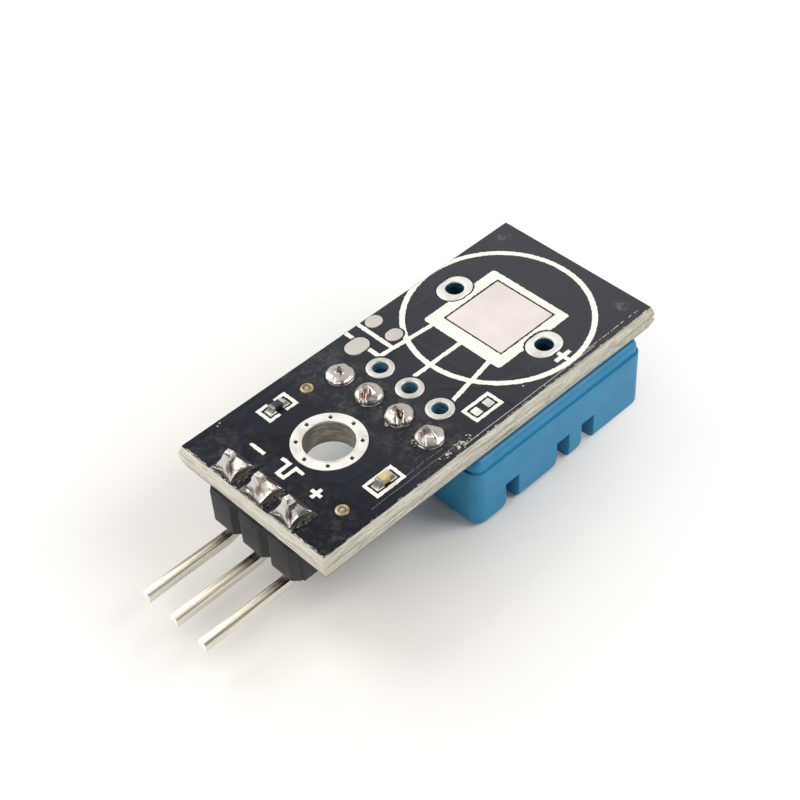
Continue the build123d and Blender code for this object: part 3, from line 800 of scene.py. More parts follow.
def square_loop(bm, x, y, z, length, width, corner=0.0):
    """Edges of a rectangle, with rounded corners if wanted."""
    verts = bmesh.ops.create_grid(bm, x_segments=1, y_segments=1, size=0.5)["verts"]
    bmesh.ops.scale(bm, vec=(length, width, 1.0), verts=verts)
    bmesh.ops.translate(bm, verts=verts, vec=(x, y, z))
    if corner:
        bevel(bm, verts, corner, 5, "VERTICES")
    face = next(iter(bm.faces))
    edges = list(face.edges)
    bmesh.ops.delete(bm, geom=[face], context="FACES_ONLY")
    return edges


def fill_plate(bm, edges, thickness):
    """Fills flat outlines, the inner ones as holes, and raises them to a closed plate."""
    filled = bmesh.ops.triangle_fill(bm, use_beauty=True, use_dissolve=False, edges=edges,
                                     normal=(0, 0, 1))["geom"]
    flat = [g for g in filled if isinstance(g, bmesh.types.BMFace)]
    raised = bmesh.ops.extrude_face_region(bm, geom=flat)["geom"]
    moved = [g for g in raised if isinstance(g, bmesh.types.BMVert)]
    bmesh.ops.translate(bm, verts=moved, vec=(0, 0, thickness))
    bmesh.ops.recalc_face_normals(bm, faces=bm.faces)


print("mesh helpers ready")

# %% [markdown]
# ## The board and its broken edge
# The board was snapped out of a larger panel along a V-shaped groove, so a thin ragged
# web runs round its middle. The welded CAD copy has the groove's clean shape. Flat cuts
# through the web and many cuts along the rim give it points to move.


# %% Board: points along the rim
def ways_out(v):
    """Which way is outwards at a point of the rim; zero inside it."""
    out = Vector((0.0, 0.0, 0.0))
    if v.co.x < BOARD_START + 0.01:
        out.x = -1.0
    if v.co.x > BOARD_END - 0.01:
        out.x = 1.0
    if abs(v.co.y) > HALF_WIDTH - 0.01:
        out.y = math.copysign(1.0, v.co.y)
    return out


def on_rim(v):
    return ways_out(v).length > 0.0


bm = welded_copy("circuit_board", flatten=False)
rim_faces = {f for f in bm.faces if abs(f.normal.z) < 0.99 and all(on_rim(v) for v in f.verts)}
diagonals = [e for e in bm.edges if len(e.link_faces) == 2 and rim_faces.issuperset(e.link_faces)
             and e.calc_face_angle(0.0) < 0.01]
bmesh.ops.dissolve_edges(bm, edges=diagonals, use_verts=False)
low_web = BOARD_BOTTOM + 0.5
high_web = BOARD_TOP - 0.5
web_middle = (low_web + high_web) / 2
for level in (low_web - 0.25, low_web + 0.15, web_middle, high_web - 0.15, high_web + 0.25):
    cut(bm, (0, 0, level), (0, 0, 1))
for axis, cuts in ((0, 190), (1, 84)):
    runs = [e for e in bm.edges if all(on_rim(v) for v in e.verts)
            and abs(e.verts[0].co[axis] - e.verts[1].co[axis]) > 8.0
            and abs(e.verts[0].co.z - e.verts[1].co.z) < 0.01]
    bmesh.ops.subdivide_edges(bm, edges=runs, cuts=cuts, use_grid_fill=True)
print("points in the board:", len(bm.verts))

# %% [markdown]
# Noise then pushes the points of the rim in and out, most of all on the thin web itself.
# Coarse noise gives it its slow swing, and fine noise its splinters.

# %% Board: the ragged web
for v in bm.verts:
    if on_rim(v) and low_web - 0.3 < v.co.z < high_web + 0.3:
        on_web = abs(v.co.z - web_middle) < 0.31
        rough = wobble(v.co.x * 1.3, v.co.y * 1.3, v.co.z * 4.0)
        fine = wobble(v.co.x * 6.0, v.co.y * 6.0, v.co.z * 9.0)
        v.co += ways_out(v) * ((0.09 * rough + 0.06 * fine) if on_web else 0.03 * fine)
settle("snapped_board", bm, laminate, "laminate", "circuit_board", sharp=40.0)

# %% [markdown]
# ## Lacquer with true round windows
# The CAD lacquer has few-sided openings to stay light. Here the outline and every opening
# are drawn as loops of edges, and `triangle_fill` closes what lies between them: it treats
# a loop inside a loop as a hole, which saves any boolean work. The openings stand a little
# back from the pads, so the sizes of the pads are settled first.

# %% Sizes of the pads
GAP = 0.06
SCREW_RING, SCREW_BORE = 4.6, 3.2
HEADER_PAD, HEADER_PAD_BELOW = 1.84, 1.6
LEAD_PAD, SPARE_PAD, VIA_PAD = 1.82, 1.8, 0.85
DISC_PAD_LONG, DISC_PAD_WIDE = 2.5, 1.95
SQUARE_PAD = 4.66
CHIP_LAND = (0.55, 0.6)
ROUND_PADS = [(LEAD_SPOTS, LEAD_PAD, LEAD_PAD), (SPARE_SPOTS, SPARE_PAD, SPARE_PAD),
              (DISC_SPOTS, DISC_PAD_LONG, DISC_PAD_WIDE), (VIA_SPOTS, VIA_PAD, VIA_PAD)]
MARGIN = 0.02
INSIDE = HALF_WIDTH - MARGIN
print("widest opening:", SQUARE_PAD + 2 * GAP)

# %% [markdown]
# One function draws both films. Only the solder side has the square, oval and chip pads.
# Openings that would reach past the board's rim are held a hair inside it.


# %% Lacquer films
def lacquer_film(name, z, thickness, solder_side, node):
    bm = bmesh.new()

    def window(draw, x, y, long, wide, **more):
        return draw(bm, x, y, z, long + 2 * GAP, wide + 2 * GAP, **more)

    edges = square_loop(bm, (BOARD_START + BOARD_END) / 2, 0.0, z, BOARD_END - BOARD_START, 2 * HALF_WIDTH)
    outline = set(bm.verts)
    edges += window(round_loop, *SCREW_HOLE, SCREW_RING, SCREW_RING, segments=128)
    for x, y in HEADER_SPOTS:
        if solder_side:
            edges += window(square_loop, x, y, HEADER_PAD, HEADER_PAD)
        else:
            edges += window(round_loop, x, y, HEADER_PAD_BELOW, HEADER_PAD_BELOW)
    for spots, long, wide in ROUND_PADS:
        for x, y in spots:
            edges += window(round_loop, x, y, long, wide)
    if solder_side:
        edges += window(square_loop, *CENTRE_PAD, SQUARE_PAD, SQUARE_PAD)
        for x, y, long, wide in TEST_PADS:
            edges += window(round_loop, x, y, long, wide)
        for x, y in CHIP_LANDS:
            edges += window(square_loop, x, y, *CHIP_LAND)
    for v in set(bm.verts) - outline:
        v.co.x = max(v.co.x, BOARD_START + MARGIN)
        v.co.y = clamp(v.co.y, -INSIDE, INSIDE)
    fill_plate(bm, edges, thickness)
    settle(name, bm, black_lacquer, "solder_mask", node)


lacquer_film("lacquer_upper", BOARD_TOP, LACQUER_TOP - BOARD_TOP, True, "solder_mask_upper")
lacquer_film("lacquer_lower", LACQUER_BOTTOM, BOARD_BOTTOM - LACQUER_BOTTOM, False, "solder_mask_lower")

# %% [markdown]
# The copper traces under the paint show as soft raised bands. Each starts as a flat ribbon
# that follows its route. At a bend its sides are moved out, so that it keeps its width.

# %% Traces: one ribbon
# each trace: its route, from the board's header end, and its width
TRACES = [
    ([(1.95, 2.9), (3.0, 4.6), (4.4, 5.45), (8.9, 5.45), (10.0, 4.5)], 0.5),
    ([(2.0, 0.15), (3.3, -1.4), (4.5, -3.0), (8.0, -3.3), (9.4, -2.0)], 0.45),
    ([(1.4, -3.4), (1.9, -5.1), (7.8, -5.6), (9.4, -4.7)], 0.5),
    ([(13.3, -1.1), (15.4, -3.4), (18.0, -4.6), (19.3, -4.2)], 0.4),
    ([(13.4, 2.5), (16.4, 4.7), (19.2, 4.7)], 0.4),
    ([(15.55, -5.9), (15.55, 2.7)], 0.35),
    ([(2.6, 5.9), (2.6, 3.6), (5.0, 2.2)], 0.35),
]


def ribbon(bm, points, width):
    """A flat ribbon along a route: a short edge is extruded and moved from point to point."""
    spots = [Vector((BOARD_START + x, y, LACQUER_TOP - 0.001)) for x, y in points]
    faces, front = [], None
    for i, spot in enumerate(spots):
        before = (spot - spots[max(i - 1, 0)] if i else spots[1] - spot).normalized()
        after = (spots[min(i + 1, len(spots) - 1)] - spot if i + 1 < len(spots) else before).normalized()
        along = (before + after).normalized()
        side = Vector((-along.y, along.x, 0.0)) * (width / 2 / max(0.5, along.dot(before)))
        if front is None:
            left, right = bm.verts.new(spot + side), bm.verts.new(spot - side)
            front = bm.edges.new((left, right))
            continue
        made = bmesh.ops.extrude_edge_only(bm, edges=[front])["geom"]
        fresh = {g for g in made if isinstance(g, bmesh.types.BMVert)}
        faces += [g for g in made if isinstance(g, bmesh.types.BMFace)]
        left, right = (next(e.other_vert(v) for e in v.link_edges if e.other_vert(v) in fresh)
                       for v in (left, right))
        left.co, right.co = spot + side, spot - side
        front = next(e for e in left.link_edges if e.other_vert(left) is right)
    return faces


print("traces:", len(TRACES))

# %% [markdown]
# An inset with a little depth then makes each ribbon swell out of the lacquer. Every one
# lies a hair higher than the one before, so that none share a plane.

# %% Traces under the lacquer
bm = bmesh.new()
for level, (points, width) in enumerate(TRACES):
    faces = ribbon(bm, points, width)
    bmesh.ops.translate(bm, verts=list({v for f in faces for v in f.verts}), vec=(0, 0, 0.0012 * level))
    bmesh.ops.recalc_face_normals(bm, faces=faces)
    if faces[0].normal.z < 0:
        bmesh.ops.reverse_faces(bm, faces=faces)
    bmesh.ops.inset_region(bm, faces=faces, thickness=0.07, depth=0.014, use_even_offset=True,
                           use_boundary=True)
    cap(bm)
settle("covered_traces", bm, black_lacquer, "solder_mask", sharp=80.0)

# %% [markdown]
# ## Screen-printed ink
# The white marks were printed through a coarse screen, so their edges run in small steps.
# Plus, minus and a square pulse are plain signs for the pins. The CAD film holds all the
# marks in one mesh, so a search from face to face first sorts its top into separate marks.

# %% Sort the marks
source = welded_copy("silkscreen", flatten=False)
ink_low, ink_high = (v.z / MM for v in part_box("silkscreen"))
bmesh.ops.delete(source, geom=[f for f in source.faces if f.normal.z < 0.9], context="FACES")
source.faces.ensure_lookup_table()
source.faces.index_update()
waiting = set(range(len(source.faces)))
islands = []
while waiting:
    reached = {waiting.pop()}
    edge_of_search = list(reached)
    while edge_of_search:
        face = source.faces[edge_of_search.pop()]
        near = {f.index for e in face.edges for f in e.link_faces} & waiting
        waiting -= near
        reached |= near
        edge_of_search += near
    islands.append(reached)
print("marks:", len(islands))

# %% [markdown]
# Each mark's outline gets a point every tenth of a millimetre, noise moves those points a
# little, and the outline is filled and raised again.

# %% Ink marks
SCREEN_STEP = 0.1
bm = bmesh.new()
for island in islands:
    single = source.copy()
    single.faces.ensure_lookup_table()
    bmesh.ops.delete(single, geom=[f for f in single.faces if f.index not in island], context="FACES")
    bmesh.ops.delete(single, geom=[e for e in single.edges if not e.is_boundary], context="EDGES_FACES")
    bmesh.ops.delete(single, geom=single.faces[:], context="FACES_ONLY")
    for edge in single.edges[:]:
        cuts = round(edge.calc_length() / SCREEN_STEP) - 1
        if cuts > 0:
            bmesh.ops.subdivide_edges(single, edges=[edge], cuts=cuts)
    for v in single.verts:
        step = Vector((v.co.x * 5.5, v.co.y * 5.5, 3.0))
        v.co.x += 0.045 * noise.noise(step)
        v.co.y = clamp(v.co.y + 0.045 * noise.noise(step + Vector((31.0, 7.0, 0.0))), -INSIDE, INSIDE)
        v.co.z = ink_low
    fill_plate(single, single.edges[:], ink_high - ink_low)
    absorb(bm, single)
source.free()
settle("ink_marks", bm, white_ink, "white_ink", "silkscreen")

# %% [markdown]
# ## Plated holes
# A plated hole is a turned shape: a thin barrel with a flange on each face of the board.
# So its cross-section is drawn once as a closed loop of edges and spun round the hole's
# axis. Dipping leaves the pad a little swollen towards the hole, which is what catches
# the bright rim in the photograph.


# %% Plated rings
def spun_band(bm, x, y, section, segments):
    """A closed section, given as (radius, level), spun into a band round an upright axis."""
    verts = [bm.verts.new((x + radius, y, z)) for radius, z in section]
    edges = [bm.edges.new((a, b)) for a, b in zip(verts, verts[1:] + verts[:1])]
    bmesh.ops.spin(bm, geom=verts + edges, cent=(x, y, 0), axis=(0, 0, 1), dvec=(0, 0, 0),
                   angle=2 * math.pi, steps=segments, use_merge=True)


def plated_ring(bm, x, y, hole, pad, stretch=0.0, swell=0.035):
    """Spins the section of a plated hole; stretch pulls its pads out to a round-ended slot."""
    r, p = hole / 2, pad / 2
    wall, land = r + 0.05, p - r
    section = [(r, BOARD_BOTTOM), (r, BOARD_TOP), (r + 0.04 * land, PAD_TOP),
               (r + 0.16 * land, PAD_TOP + swell), (r + 0.36 * land, PAD_TOP + swell),
               (r + 0.70 * land, PAD_TOP), (r + 0.93 * land, PAD_TOP - 0.012), (p, BOARD_TOP + 0.02),
               (p, BOARD_TOP), (wall, BOARD_TOP), (wall, BOARD_BOTTOM), (p, BOARD_BOTTOM),
               (r + 0.93 * land, PAD_BOTTOM + 0.01), (r + 0.27 * land, PAD_BOTTOM),
               (r + 0.05 * land, PAD_BOTTOM + 0.01)]
    spun_band(bm, x, y, section, 64)
    if stretch:
        for v in bm.verts:
            aside = v.co.x - x
            reach = Vector((aside, v.co.y - y)).length
            if reach > wall + 0.02:
                share = min(1.0, (reach - wall) / (p - 0.12 - wall))
                v.co.x += math.copysign(stretch * share, aside)
    bmesh.ops.recalc_face_normals(bm, faces=bm.faces)


def plated_group(name, spots, hole, pad, material, node, **shape):
    bm = bmesh.new()
    for x, y in spots:
        single = bmesh.new()
        plated_ring(single, x, y, hole, pad, **shape)
        absorb(bm, single)
    settle(name, bm, material, "tinned_copper", node, sharp=50.0)


print("a ring has", 15 * 64, "points")

# %% [markdown]
# Four groups of holes use that section. The two wider ones at the disc are pulled out to
# round-ended slots. The two small vias are filled with resin, so each gets a plug.

# %% Groups of holes
disc_stretch = (DISC_PAD_LONG - DISC_PAD_WIDE) / 2
plated_group("lead_rings", LEAD_SPOTS, 0.95, LEAD_PAD, grey_tin, "lead_pads")
plated_group("spare_rings", SPARE_SPOTS, 1.0, SPARE_PAD, grey_tin, "spare_row_pads")
plated_group("disc_rings", DISC_SPOTS, 1.2, DISC_PAD_WIDE, dull_tin, "disc_pads", stretch=disc_stretch)
plated_group("via_rings", VIA_SPOTS, 0.45, VIA_PAD, bronze_tin, "small_vias", swell=0.02)
bm = bmesh.new()
for x, y in VIA_SPOTS:
    plug = bmesh.ops.create_cone(bm, cap_ends=True, segments=32, radius1=0.22, radius2=0.16, depth=0.2)
    bmesh.ops.translate(bm, verts=plug["verts"], vec=(x, y, BOARD_TOP - 0.06))
settle("via_plugs", bm, via_fill, "solder_mask")

# %% [markdown]
# The screw hole's ring carries eight tiny vias, so it isn't a plain turned shape. Its two
# faces are filled plates with nine holes each, joined by spun barrels, and a low bead runs
# round the bore where the tin gathered.

# %% Screw hole
ring_angles = [math.radians(45 * i) for i in range(8)]
RING_VIAS = [(SCREW_HOLE[0] + 1.95 * math.cos(a), SCREW_HOLE[1] + 1.95 * math.sin(a)) for a in ring_angles]
bm = bmesh.new()
for low, high in ((BOARD_TOP, PAD_TOP), (PAD_BOTTOM, BOARD_BOTTOM)):
    plate = bmesh.new()
    edges = round_loop(plate, *SCREW_HOLE, low, SCREW_RING, segments=128)
    edges += round_loop(plate, *SCREW_HOLE, low, SCREW_BORE, segments=128)
    for x, y in RING_VIAS:
        edges += round_loop(plate, x, y, low, 0.3, segments=20)
    fill_plate(plate, edges, high - low)
    absorb(bm, plate)
bore_section = [(1.6, PAD_BOTTOM), (1.6, PAD_TOP + 0.01), (1.63, PAD_TOP + 0.035), (1.69, PAD_TOP + 0.03),
                (1.72, PAD_TOP - 0.01), (1.65, BOARD_TOP), (1.65, PAD_BOTTOM)]
via_section = [(0.14, PAD_BOTTOM), (0.14, PAD_TOP + 0.005), (0.17, PAD_TOP + 0.025),
               (0.21, PAD_TOP + 0.015), (0.23, PAD_TOP - 0.01), (0.18, BOARD_TOP), (0.18, PAD_BOTTOM)]
spun_band(bm, *SCREW_HOLE, bore_section, 128)
for x, y in RING_VIAS:
    spun_band(bm, x, y, via_section, 20)
bmesh.ops.recalc_face_normals(bm, faces=bm.faces)
settle("screw_ring", bm, dull_tin, "tinned_copper", "mounting_hole_plating", sharp=45.0)

# %% [markdown]
# ## Flat pads
# The big square pad and the oval test pads are flat plates with softened rims. A loop of
# edges is filled, raised and bevelled, the same three steps each time.


# %% Flat pads
def flat_pads(name, draw, outlines, material, node):
    """One plate for each outline, given as x, y and the sizes that its loop needs."""
    bm = bmesh.new()
    for x, y, *sizes in outlines:
        single = bmesh.new()
        fill_plate(single, draw(single, x, y, BOARD_TOP, *sizes), PAD_TOP - BOARD_TOP)
        bmesh.ops.dissolve_limit(single, angle_limit=0.02, verts=single.verts, edges=single.edges)
        rim = [e for e in single.edges if e.calc_face_angle(0) > 0.8
               and all(v.co.z > PAD_TOP - 0.001 for v in e.verts)]
        bevel(single, rim, 0.025, 2)
        absorb(bm, single)
    settle(name, bm, material, "tinned_copper", node, sharp=50.0)


flat_pads("square_pad", square_loop, [(*CENTRE_PAD, SQUARE_PAD, SQUARE_PAD, 0.08)], rosy_tin,
          "centre_contact_pad")
flat_pads("test_ovals", round_loop, TEST_PADS, grey_rosy_tin, "test_pads")
flat_pads("chip_lands", square_loop, [(*spot, *CHIP_LAND, 0.05) for spot in CHIP_LANDS], dull_tin,
          "chip_pads")

# %% [markdown]
# ## Header joints
# Solder pulls itself into a hollow-sided tent between the pin and the square pad. Sharp
# ridges run out to the pad's corners, and between them the edge draws back. A fine grid
# over the pad is lifted by the distance from that star-shaped edge. The pin's cut end
# stands up in the middle, a square cone with a flat top.


# %% Header joints: one joint
PAD_HALF = 0.92
TENT_HEIGHT, PIN_STUB = 0.76, 1.06


def seat_joint(name, bm, spot, node, sharp):
    """Stands a joint that was made at the origin on its pad."""
    bmesh.ops.translate(bm, verts=bm.verts, vec=(*spot, PAD_TOP))
    bmesh.ops.recalc_face_normals(bm, faces=bm.faces)
    settle(name, bm, solder, "solder", node, sharp=sharp)


def header_joint(name, spot, node, seed, wrinkle, lean, waist):
    bm = bmesh.new()
    bmesh.ops.create_grid(bm, x_segments=64, y_segments=64, size=1.0)
    for v in bm.verts:
        u, w = v.co.x, v.co.y
        p, q = u - lean[0] * (1 - abs(u)), w - lean[1] * (1 - abs(w))
        far, near = max(abs(p), abs(q)), min(abs(p), abs(q))
        even = near / far if far > 0.001 else 1.0
        reach = far + waist * (1 - even ** 2) * min(1.0, 1.6 * far)
        slope = clamp((1.0 - reach) / 0.66)
        knob = clamp((0.35 - far) / 0.11)
        lump = wobble(u * 1.8 + seed, w * 1.8, seed)
        crumb = wobble(u * 7.0, w * 7.0 + seed, 2.0)
        folds = (wrinkle * lump + 0.15 * wrinkle * crumb) * slope * (1 - slope) * 4
        lift = max(0.012, TENT_HEIGHT * slope ** 1.35 + folds) + (PIN_STUB - TENT_HEIGHT) * knob ** 0.7
        inside = max(abs(u), abs(w)) < 0.985
        v.co = Vector((u * PAD_HALF, w * PAD_HALF, min(PIN_STUB, lift) if inside else 0.0))
    cap(bm)
    tip = bmesh.ops.create_cone(bm, cap_ends=True, segments=4, radius1=0.46, radius2=0.24,
                                depth=0.34)["verts"]
    turn = math.radians(45) + 0.03 * (seed - 9.0)
    bmesh.ops.rotate(bm, verts=tip, matrix=Matrix.Rotation(turn, 3, "Z"))
    bmesh.ops.translate(bm, verts=tip, vec=(0.4 * lean[0], 0.4 * lean[1], 1.10))
    bevel(bm, list({e for v in tip for e in v.link_edges}), 0.025, 2)
    seat_joint(name, bm, spot, node, 50.0)


print("tent", TENT_HEIGHT, "mm high, pin stub", PIN_STUB, "mm")

# %% [markdown]
# The three differ in their wrinkles, in how they lean and in how far their edge draws
# back. The cut ends of the outer two pins also stand slightly turned.

# %% Header joints: all three
# each tent: seed, wrinkle, lean and how far its edge draws back
TENTS = [(3.0, 0.06, (-0.04, 0.08), 0.28), (9.0, 0.12, (-0.04, 0.06), 0.20),
         (17.0, 0.08, (-0.06, 0.10), 0.25)]
for number, (spot, shape) in enumerate(zip(HEADER_SPOTS, TENTS), 1):
    header_joint(f"pin_joint_{number}", spot, f"header_solder_{number}", *shape)

# %% [markdown]
# ## Sensor joints
# The sensor's four leads come up through round pads, and the solder stands on them in low
# heaps. No two are alike: one is a flat dome with a pointed knob, one leans, one is split
# in two by a crease, one carries a long ridge. So each joint is half a sphere with its own
# height, knob and crease.


# %% Sensor joints: one joint
def sensor_joint(name, spot, node, seed, height, knob, crease):
    bm = bmesh.new()
    bmesh.ops.create_uvsphere(bm, u_segments=64, v_segments=48, radius=1.0)
    cut(bm, (0, 0, 0), (0, 0, 1), clear_inner=True)
    knob_x, knob_y, knob_wide, knob_long, knob_high = knob
    crease_right, crease_end, crease_deep = crease
    for v in bm.verts:
        x, y, z = v.co
        right, up = (x - y) * COS_45, (x + y) * COS_45
        swell = 1.0 + 0.13 * wobble(x * 1.8 + seed, y * 1.8, z * 1.8)
        away = math.hypot((x - knob_x) / knob_wide, (y - knob_y) / knob_long)
        lift = height * z ** 0.75 * swell + knob_high * max(0.0, 1.0 - away) ** 1.2 * (z > 0.2)
        groove = math.exp(-((right - crease_right) / 0.13) ** 2) * clamp((crease_end - up) / 0.25)
        lift *= 1.0 - crease_deep * groove
        inward = 1.0 - 0.18 * crease_deep * groove
        inward *= 0.905 + 0.10 * wobble(1.9 * right + seed, 1.9 * up, 5.0)
        v.co = Vector((x * inward, y * inward, lift if z > 0.0 else 0.0))
    cap(bm)
    seat_joint(name, bm, spot, node, 60.0)


print("sensor joints stand on", len(LEAD_SPOTS), "pads")

# %% [markdown]
# The tips of the leads are pinched and lowered, so that the knobs of solder cover them.


# %% Sensor joints and leads
def taper(bm, spot, cut_height, pinch_height, share, drop=0.0):
    """Cuts a wire above its pad, then draws the part higher up inwards and lowers it."""
    cut(bm, (0, 0, PAD_TOP + cut_height), (0, 0, 1))
    for v in bm.verts:
        if v.co.z > PAD_TOP + pinch_height:
            v.co.x = spot[0] + share * (v.co.x - spot[0])
            v.co.y = spot[1] + share * (v.co.y - spot[1])
            v.co.z -= drop


# each heap: seed, height, knob (x, y, width, length, height), crease (right, end, depth)
JOINTS = [(15.0, 0.38, (0.05, 0.05, 0.30, 0.80, 0.46), (-0.45, 0.2, 0.40)),
          (11.0, 0.46, (-0.05, 0.20, 0.26, 0.36, 0.44), (0.10, 0.10, 0.80)),
          (6.0, 0.46, (0.05, 0.05, 0.40, 0.60, 0.34), (-0.40, 0.1, 0.45)),
          (2.0, 0.30, (0.0, 0.0, 0.26, 0.34, 0.64), (0.0, -2.0, 0.0))]
for number, (spot, shape) in enumerate(zip(LEAD_SPOTS, JOINTS), 1):
    sensor_joint(f"lead_joint_{number}", spot, f"sensor_solder_{number}", *shape)
    bm = welded_copy(f"sensor_lead_{number}")
    taper(bm, spot, 0.2, 0.3, 0.4, drop=0.14)
    settle(f"flat_lead_{number}", bm, pin_metal, "pin_metal", f"sensor_lead_{number}")

# %% [markdown]
# ## Chips
# Both chip parts are blocks of ceramic a millimetre long with metal ends. The blocks are
# cubes scaled to size and bevelled; the solder at each end is a CAD wedge, too small to
# need more than its bright surface.


# %% Chips
def block(name, boxes, material, slot, node, rim=0.03):
    """Bevelled blocks, each given as centre and size."""
    bm = bmesh.new()
    for centre, size in boxes:
        verts = bmesh.ops.create_cube(bm, size=1.0)["verts"]
        bmesh.ops.scale(bm, vec=size, verts=verts)
        bmesh.ops.translate(bm, verts=verts, vec=centre)
    bevel(bm, bm.edges[:], rim, 3)
    settle(name, bm, material, slot, node)


def refinish(node, material):
    """Gives a CAD node's own mesh another surface."""
    nodes[node].data.materials.clear()
    nodes[node].data.materials.append(material)


for word, (x, y), tall, material in (("resistor", RESISTOR, 0.35, dark_glaze),
                                     ("capacitor", CAPACITOR, 0.5, tan_ceramic)):
    z = PAD_TOP + tall / 2
    body = [((x, y, z), (0.57, 0.48, tall - 0.02))]
    ends = [((x + side * 0.39, y, z), (0.22, 0.5, tall)) for side in (-1, 1)]
    block(f"{word}_block", body, material, f"{word}_ceramic", f"{word}_body")
    block(f"{word}_ends", ends, chip_tin, "solder", f"{word}_terminals", rim=0.05)
    refinish(f"{word}_solder", chip_tin)

# %% [markdown]
# ## Pins and header strip
# These shapes are already right in CAD. What a render needs is a small radius on every
# edge, since no moulded or cut edge is perfectly sharp and the radius is what glints.
# The welded copies get a narrow bevel, and the pins taper where they end in their joints.

# %% Pins and strip
for number, spot in enumerate(HEADER_SPOTS, 1):
    bm = welded_copy(f"header_pin_{number}")
    taper(bm, spot, 0.3, 0.5, 0.58)
    soften(bm, 0.05, 3)
    settle(f"square_pin_{number}", bm, pin_metal, "pin_metal", f"header_pin_{number}")
bm = welded_copy("header_housing")
soften(bm, 0.05)
settle("header_strip", bm, header_black, "header_plastic", "header_housing")

# %% [markdown]
# ## The blue case
# The case is two mouldings, a slotted shell and a lid, with a fine shadow line between
# them. Their main curves come from CAD, and the same small bevel rounds the slots. Each
# notch in the side wall starts with a generous curve at its lower corner.

# %% Case
SLOT_ROW, FIRST_SLOT, SLOT_HALF = 2.3, 3.1, 0.575
WALL_INSIDE = 0.80
NOTCH_CURVE = 1.1


def round_notches(bm, corners, radius):
    """Curves the wall's lower corner before each notch: cuts it to strips, lifts their lower edges."""
    low, high = (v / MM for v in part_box("sensor_shell"))
    for y in (low.y + WALL_INSIDE, low.y + WALL_INSIDE + 0.03,
              high.y - WALL_INSIDE, high.y - WALL_INSIDE - 0.03):
        cut(bm, (0, y, 0), (0, 1, 0))
    for corner in corners:
        for i in range(9):
            cut(bm, (corner - radius + radius * math.sin(math.radians(10 * i)), 0, 0), (1, 0, 0))
    for v in bm.verts:
        in_wall = not low.y + WALL_INSIDE + 0.01 < v.co.y < high.y - WALL_INSIDE - 0.01
        for corner in corners:
            into = v.co.x - (corner - radius)
            if in_wall and -0.001 < into < radius + 0.001:
                v.co.z = max(v.co.z, radius - math.sqrt(max(0.0, radius ** 2 - into ** 2)))
    bmesh.ops.dissolve_degenerate(bm, dist=0.001, edges=bm.edges)


shell_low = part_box("sensor_shell")[0].x / MM
bm = welded_copy("sensor_shell")
soften(bm, 0.08, 3)
notches = [shell_low + FIRST_SLOT + SLOT_ROW * row - SLOT_HALF for row in (0, 2, 3)]
round_notches(bm, notches, NOTCH_CURVE)
settle("slotted_shell", bm, case_blue, "case_plastic", "sensor_shell", even=True)
bm = welded_copy("sensor_back_cover")
soften(bm, 0.06, 3)
settle("case_lid", bm, case_blue, "case_plastic", "sensor_back_cover", even=True)

# %% [markdown]
# ## Surfaces for the nodes that stay
# Everything that CAD already shows well keeps its own mesh and only changes its surface.

# %% Remaining nodes
KEPT = {"header_pads": dull_tin, "inner_board": green_board, "humidity_element": pale_plate,
        "thermistor": dark_bead, "controller_blob": black_resin}
for node_name, material in KEPT.items():
    refinish(node_name, material)
print("kept nodes:", sorted(KEPT))

# %% [markdown]
# ## Crumbs
# Hand soldering leaves splashes of solder and, between the header joints, glossy dark
# crumbs of burnt flux. Both are small balls, each squashed and dented its own way. A fixed
# seed puts them in the same places every time.

# %% Crumbs
random.seed(5)
bm = bmesh.new()


def crumbs(bm, middle, spread, count, small, large):
    """Dented little balls, scattered round a place on the lacquer."""
    for _ in range(count):
        x, y = (m + random.uniform(-s, s) for m, s in zip(middle, spread))
        size = random.uniform(small, large)
        ball = bmesh.ops.create_icosphere(bm, subdivisions=2, radius=size)["verts"]
        for v in ball:
            v.co *= 1.0 + 0.5 * noise.noise(v.co * 14.0 + Vector((x, y, 0.0)))
        bmesh.ops.scale(bm, vec=(random.uniform(0.8, 1.8), random.uniform(0.6, 1.2), 0.6), verts=ball)
        bmesh.ops.translate(bm, verts=ball, vec=(x, y, LACQUER_TOP + 0.3 * size))


for spot in HEADER_SPOTS[:2]:
    crumbs(bm, (spot[0], spot[1] + PITCH / 2), (0.7, 0.16), 9, 0.03, 0.08)
crumbs(bm, on_joint(LEAD_SPOTS[1], -0.62, -0.60), (0.20, 0.20), 16, 0.04, 0.12)
crumbs(bm, on_joint(LEAD_SPOTS[1], 0.25, -0.88), (0.12, 0.12), 6, 0.04, 0.10)
crumbs(bm, on_joint(LEAD_SPOTS[0], -0.85, -0.40), (0.22, 0.22), 16, 0.04, 0.11)
crumbs(bm, on_joint(LEAD_SPOTS[2], 0.85, 0.50), (0.10, 0.35), 9, 0.03, 0.07)
settle("solder_crumbs", bm, solder, "solder")
bm = bmesh.new()
for spot in HEADER_SPOTS:
    crumbs(bm, (spot[0] + 0.15, spot[1] - 1.12), (0.75, 0.14), 22, 0.06, 0.14)
    crumbs(bm, (spot[0] - 0.84, spot[1] - 0.3), (0.05, 0.7), 8, 0.04, 0.09)
settle("burnt_flux", bm, dark_bead, "resin")

# %% [markdown]
# Snapping the board also left glass fibre: a white fringe on the broken edges and a few
# curled flakes beside the sensor's joints. Each splinter is a thin cone laid flat.

# %% Splinters
bm = bmesh.new()


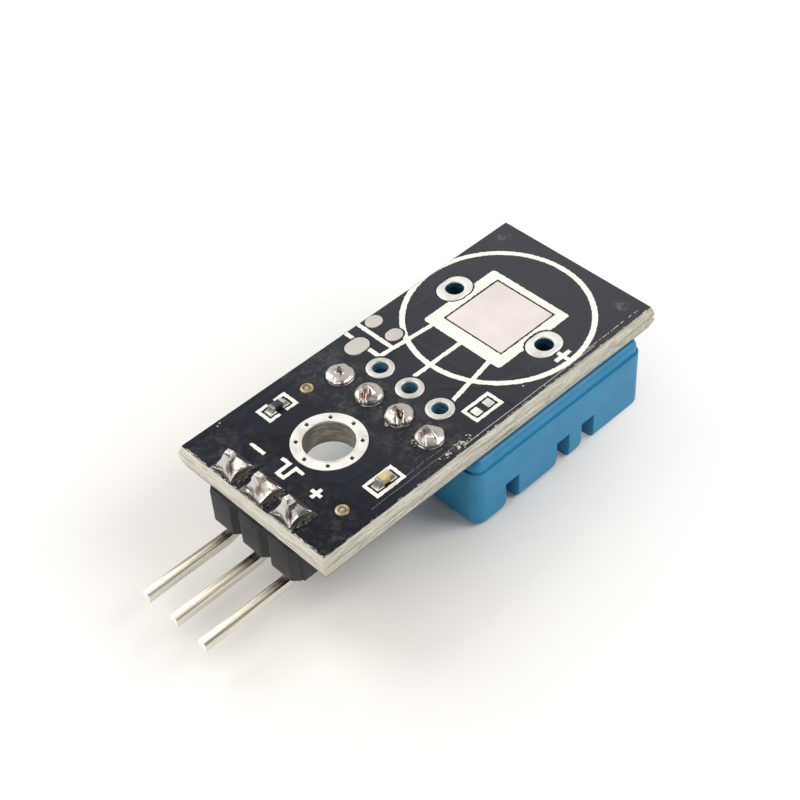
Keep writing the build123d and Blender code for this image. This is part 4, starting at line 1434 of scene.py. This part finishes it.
def splinter(x, y, z, long, thick, turn):
    """A thin cone laid flat and turned about the upright axis."""
    cone = bmesh.ops.create_cone(bm, cap_ends=True, segments=5, radius1=thick, radius2=0.3 * thick,
                                 depth=long)["verts"]
    bmesh.ops.rotate(bm, verts=cone, matrix=Matrix.Rotation(math.radians(90), 3, "Y"))
    bmesh.ops.rotate(bm, verts=cone, matrix=Matrix.Rotation(turn, 3, "Z"))
    bmesh.ops.translate(bm, verts=cone, vec=(x, y, z))


chance = random.uniform
RIM_LOW, RIM_HIGH = BOARD_TOP - 0.35, BOARD_TOP - 0.02
for _ in range(90):
    along = chance(0.2, BOARD_END - BOARD_START - 0.4)
    splinter(BOARD_START + along, -HALF_WIDTH - 0.005, chance(RIM_LOW, RIM_HIGH),
             chance(0.08, 0.35), chance(0.008, 0.018), chance(-0.10, 0.10))
for _ in range(60):
    across = chance(-HALF_WIDTH + 0.2, HALF_WIDTH - 0.2)
    splinter(BOARD_START - 0.005, across, chance(RIM_LOW, RIM_HIGH),
             chance(0.08, 0.35), chance(0.008, 0.02), math.pi / 2 + chance(-0.12, 0.12))
for _ in range(70):
    across = chance(-HALF_WIDTH + 0.1, HALF_WIDTH - 0.1)
    splinter(BOARD_START + chance(0.0, 0.07), across, LACQUER_TOP,
             chance(0.06, 0.40), chance(0.012, 0.035), math.pi / 2 + chance(-0.25, 0.25))
for _ in range(60):
    along = chance(0.1, BOARD_END - BOARD_START - 0.1)
    splinter(BOARD_START + along, -HALF_WIDTH + chance(0.0, 0.04), LACQUER_TOP - 0.005,
             chance(0.06, 0.35), chance(0.010, 0.022), chance(-0.15, 0.15))
for middle, count in ((10.15, 9), (10.9, 6), (11.35, 11), (11.9, 4)):
    for _ in range(count):
        along, across = middle + random.gauss(0.0, 0.14), -5.72 + random.gauss(0.0, 0.13)
        splinter(BOARD_START + along, max(across, -HALF_WIDTH + 0.1), LACQUER_TOP + 0.03,
                 chance(0.08, 0.30), chance(0.015, 0.05), chance(-1.6, 1.6))
for along, across in ((17.1, -5.07), (2.45, 5.8), (2.7, 5.9), (9.5, -5.6), (12.3, -5.9), (18.0, -5.95)):
    splinter(BOARD_START + along, across, LACQUER_TOP + 0.01, 0.12, 0.05, chance(0.0, 3.0))
settle("fibre_splinters", bm, loose_fibre, "laminate")
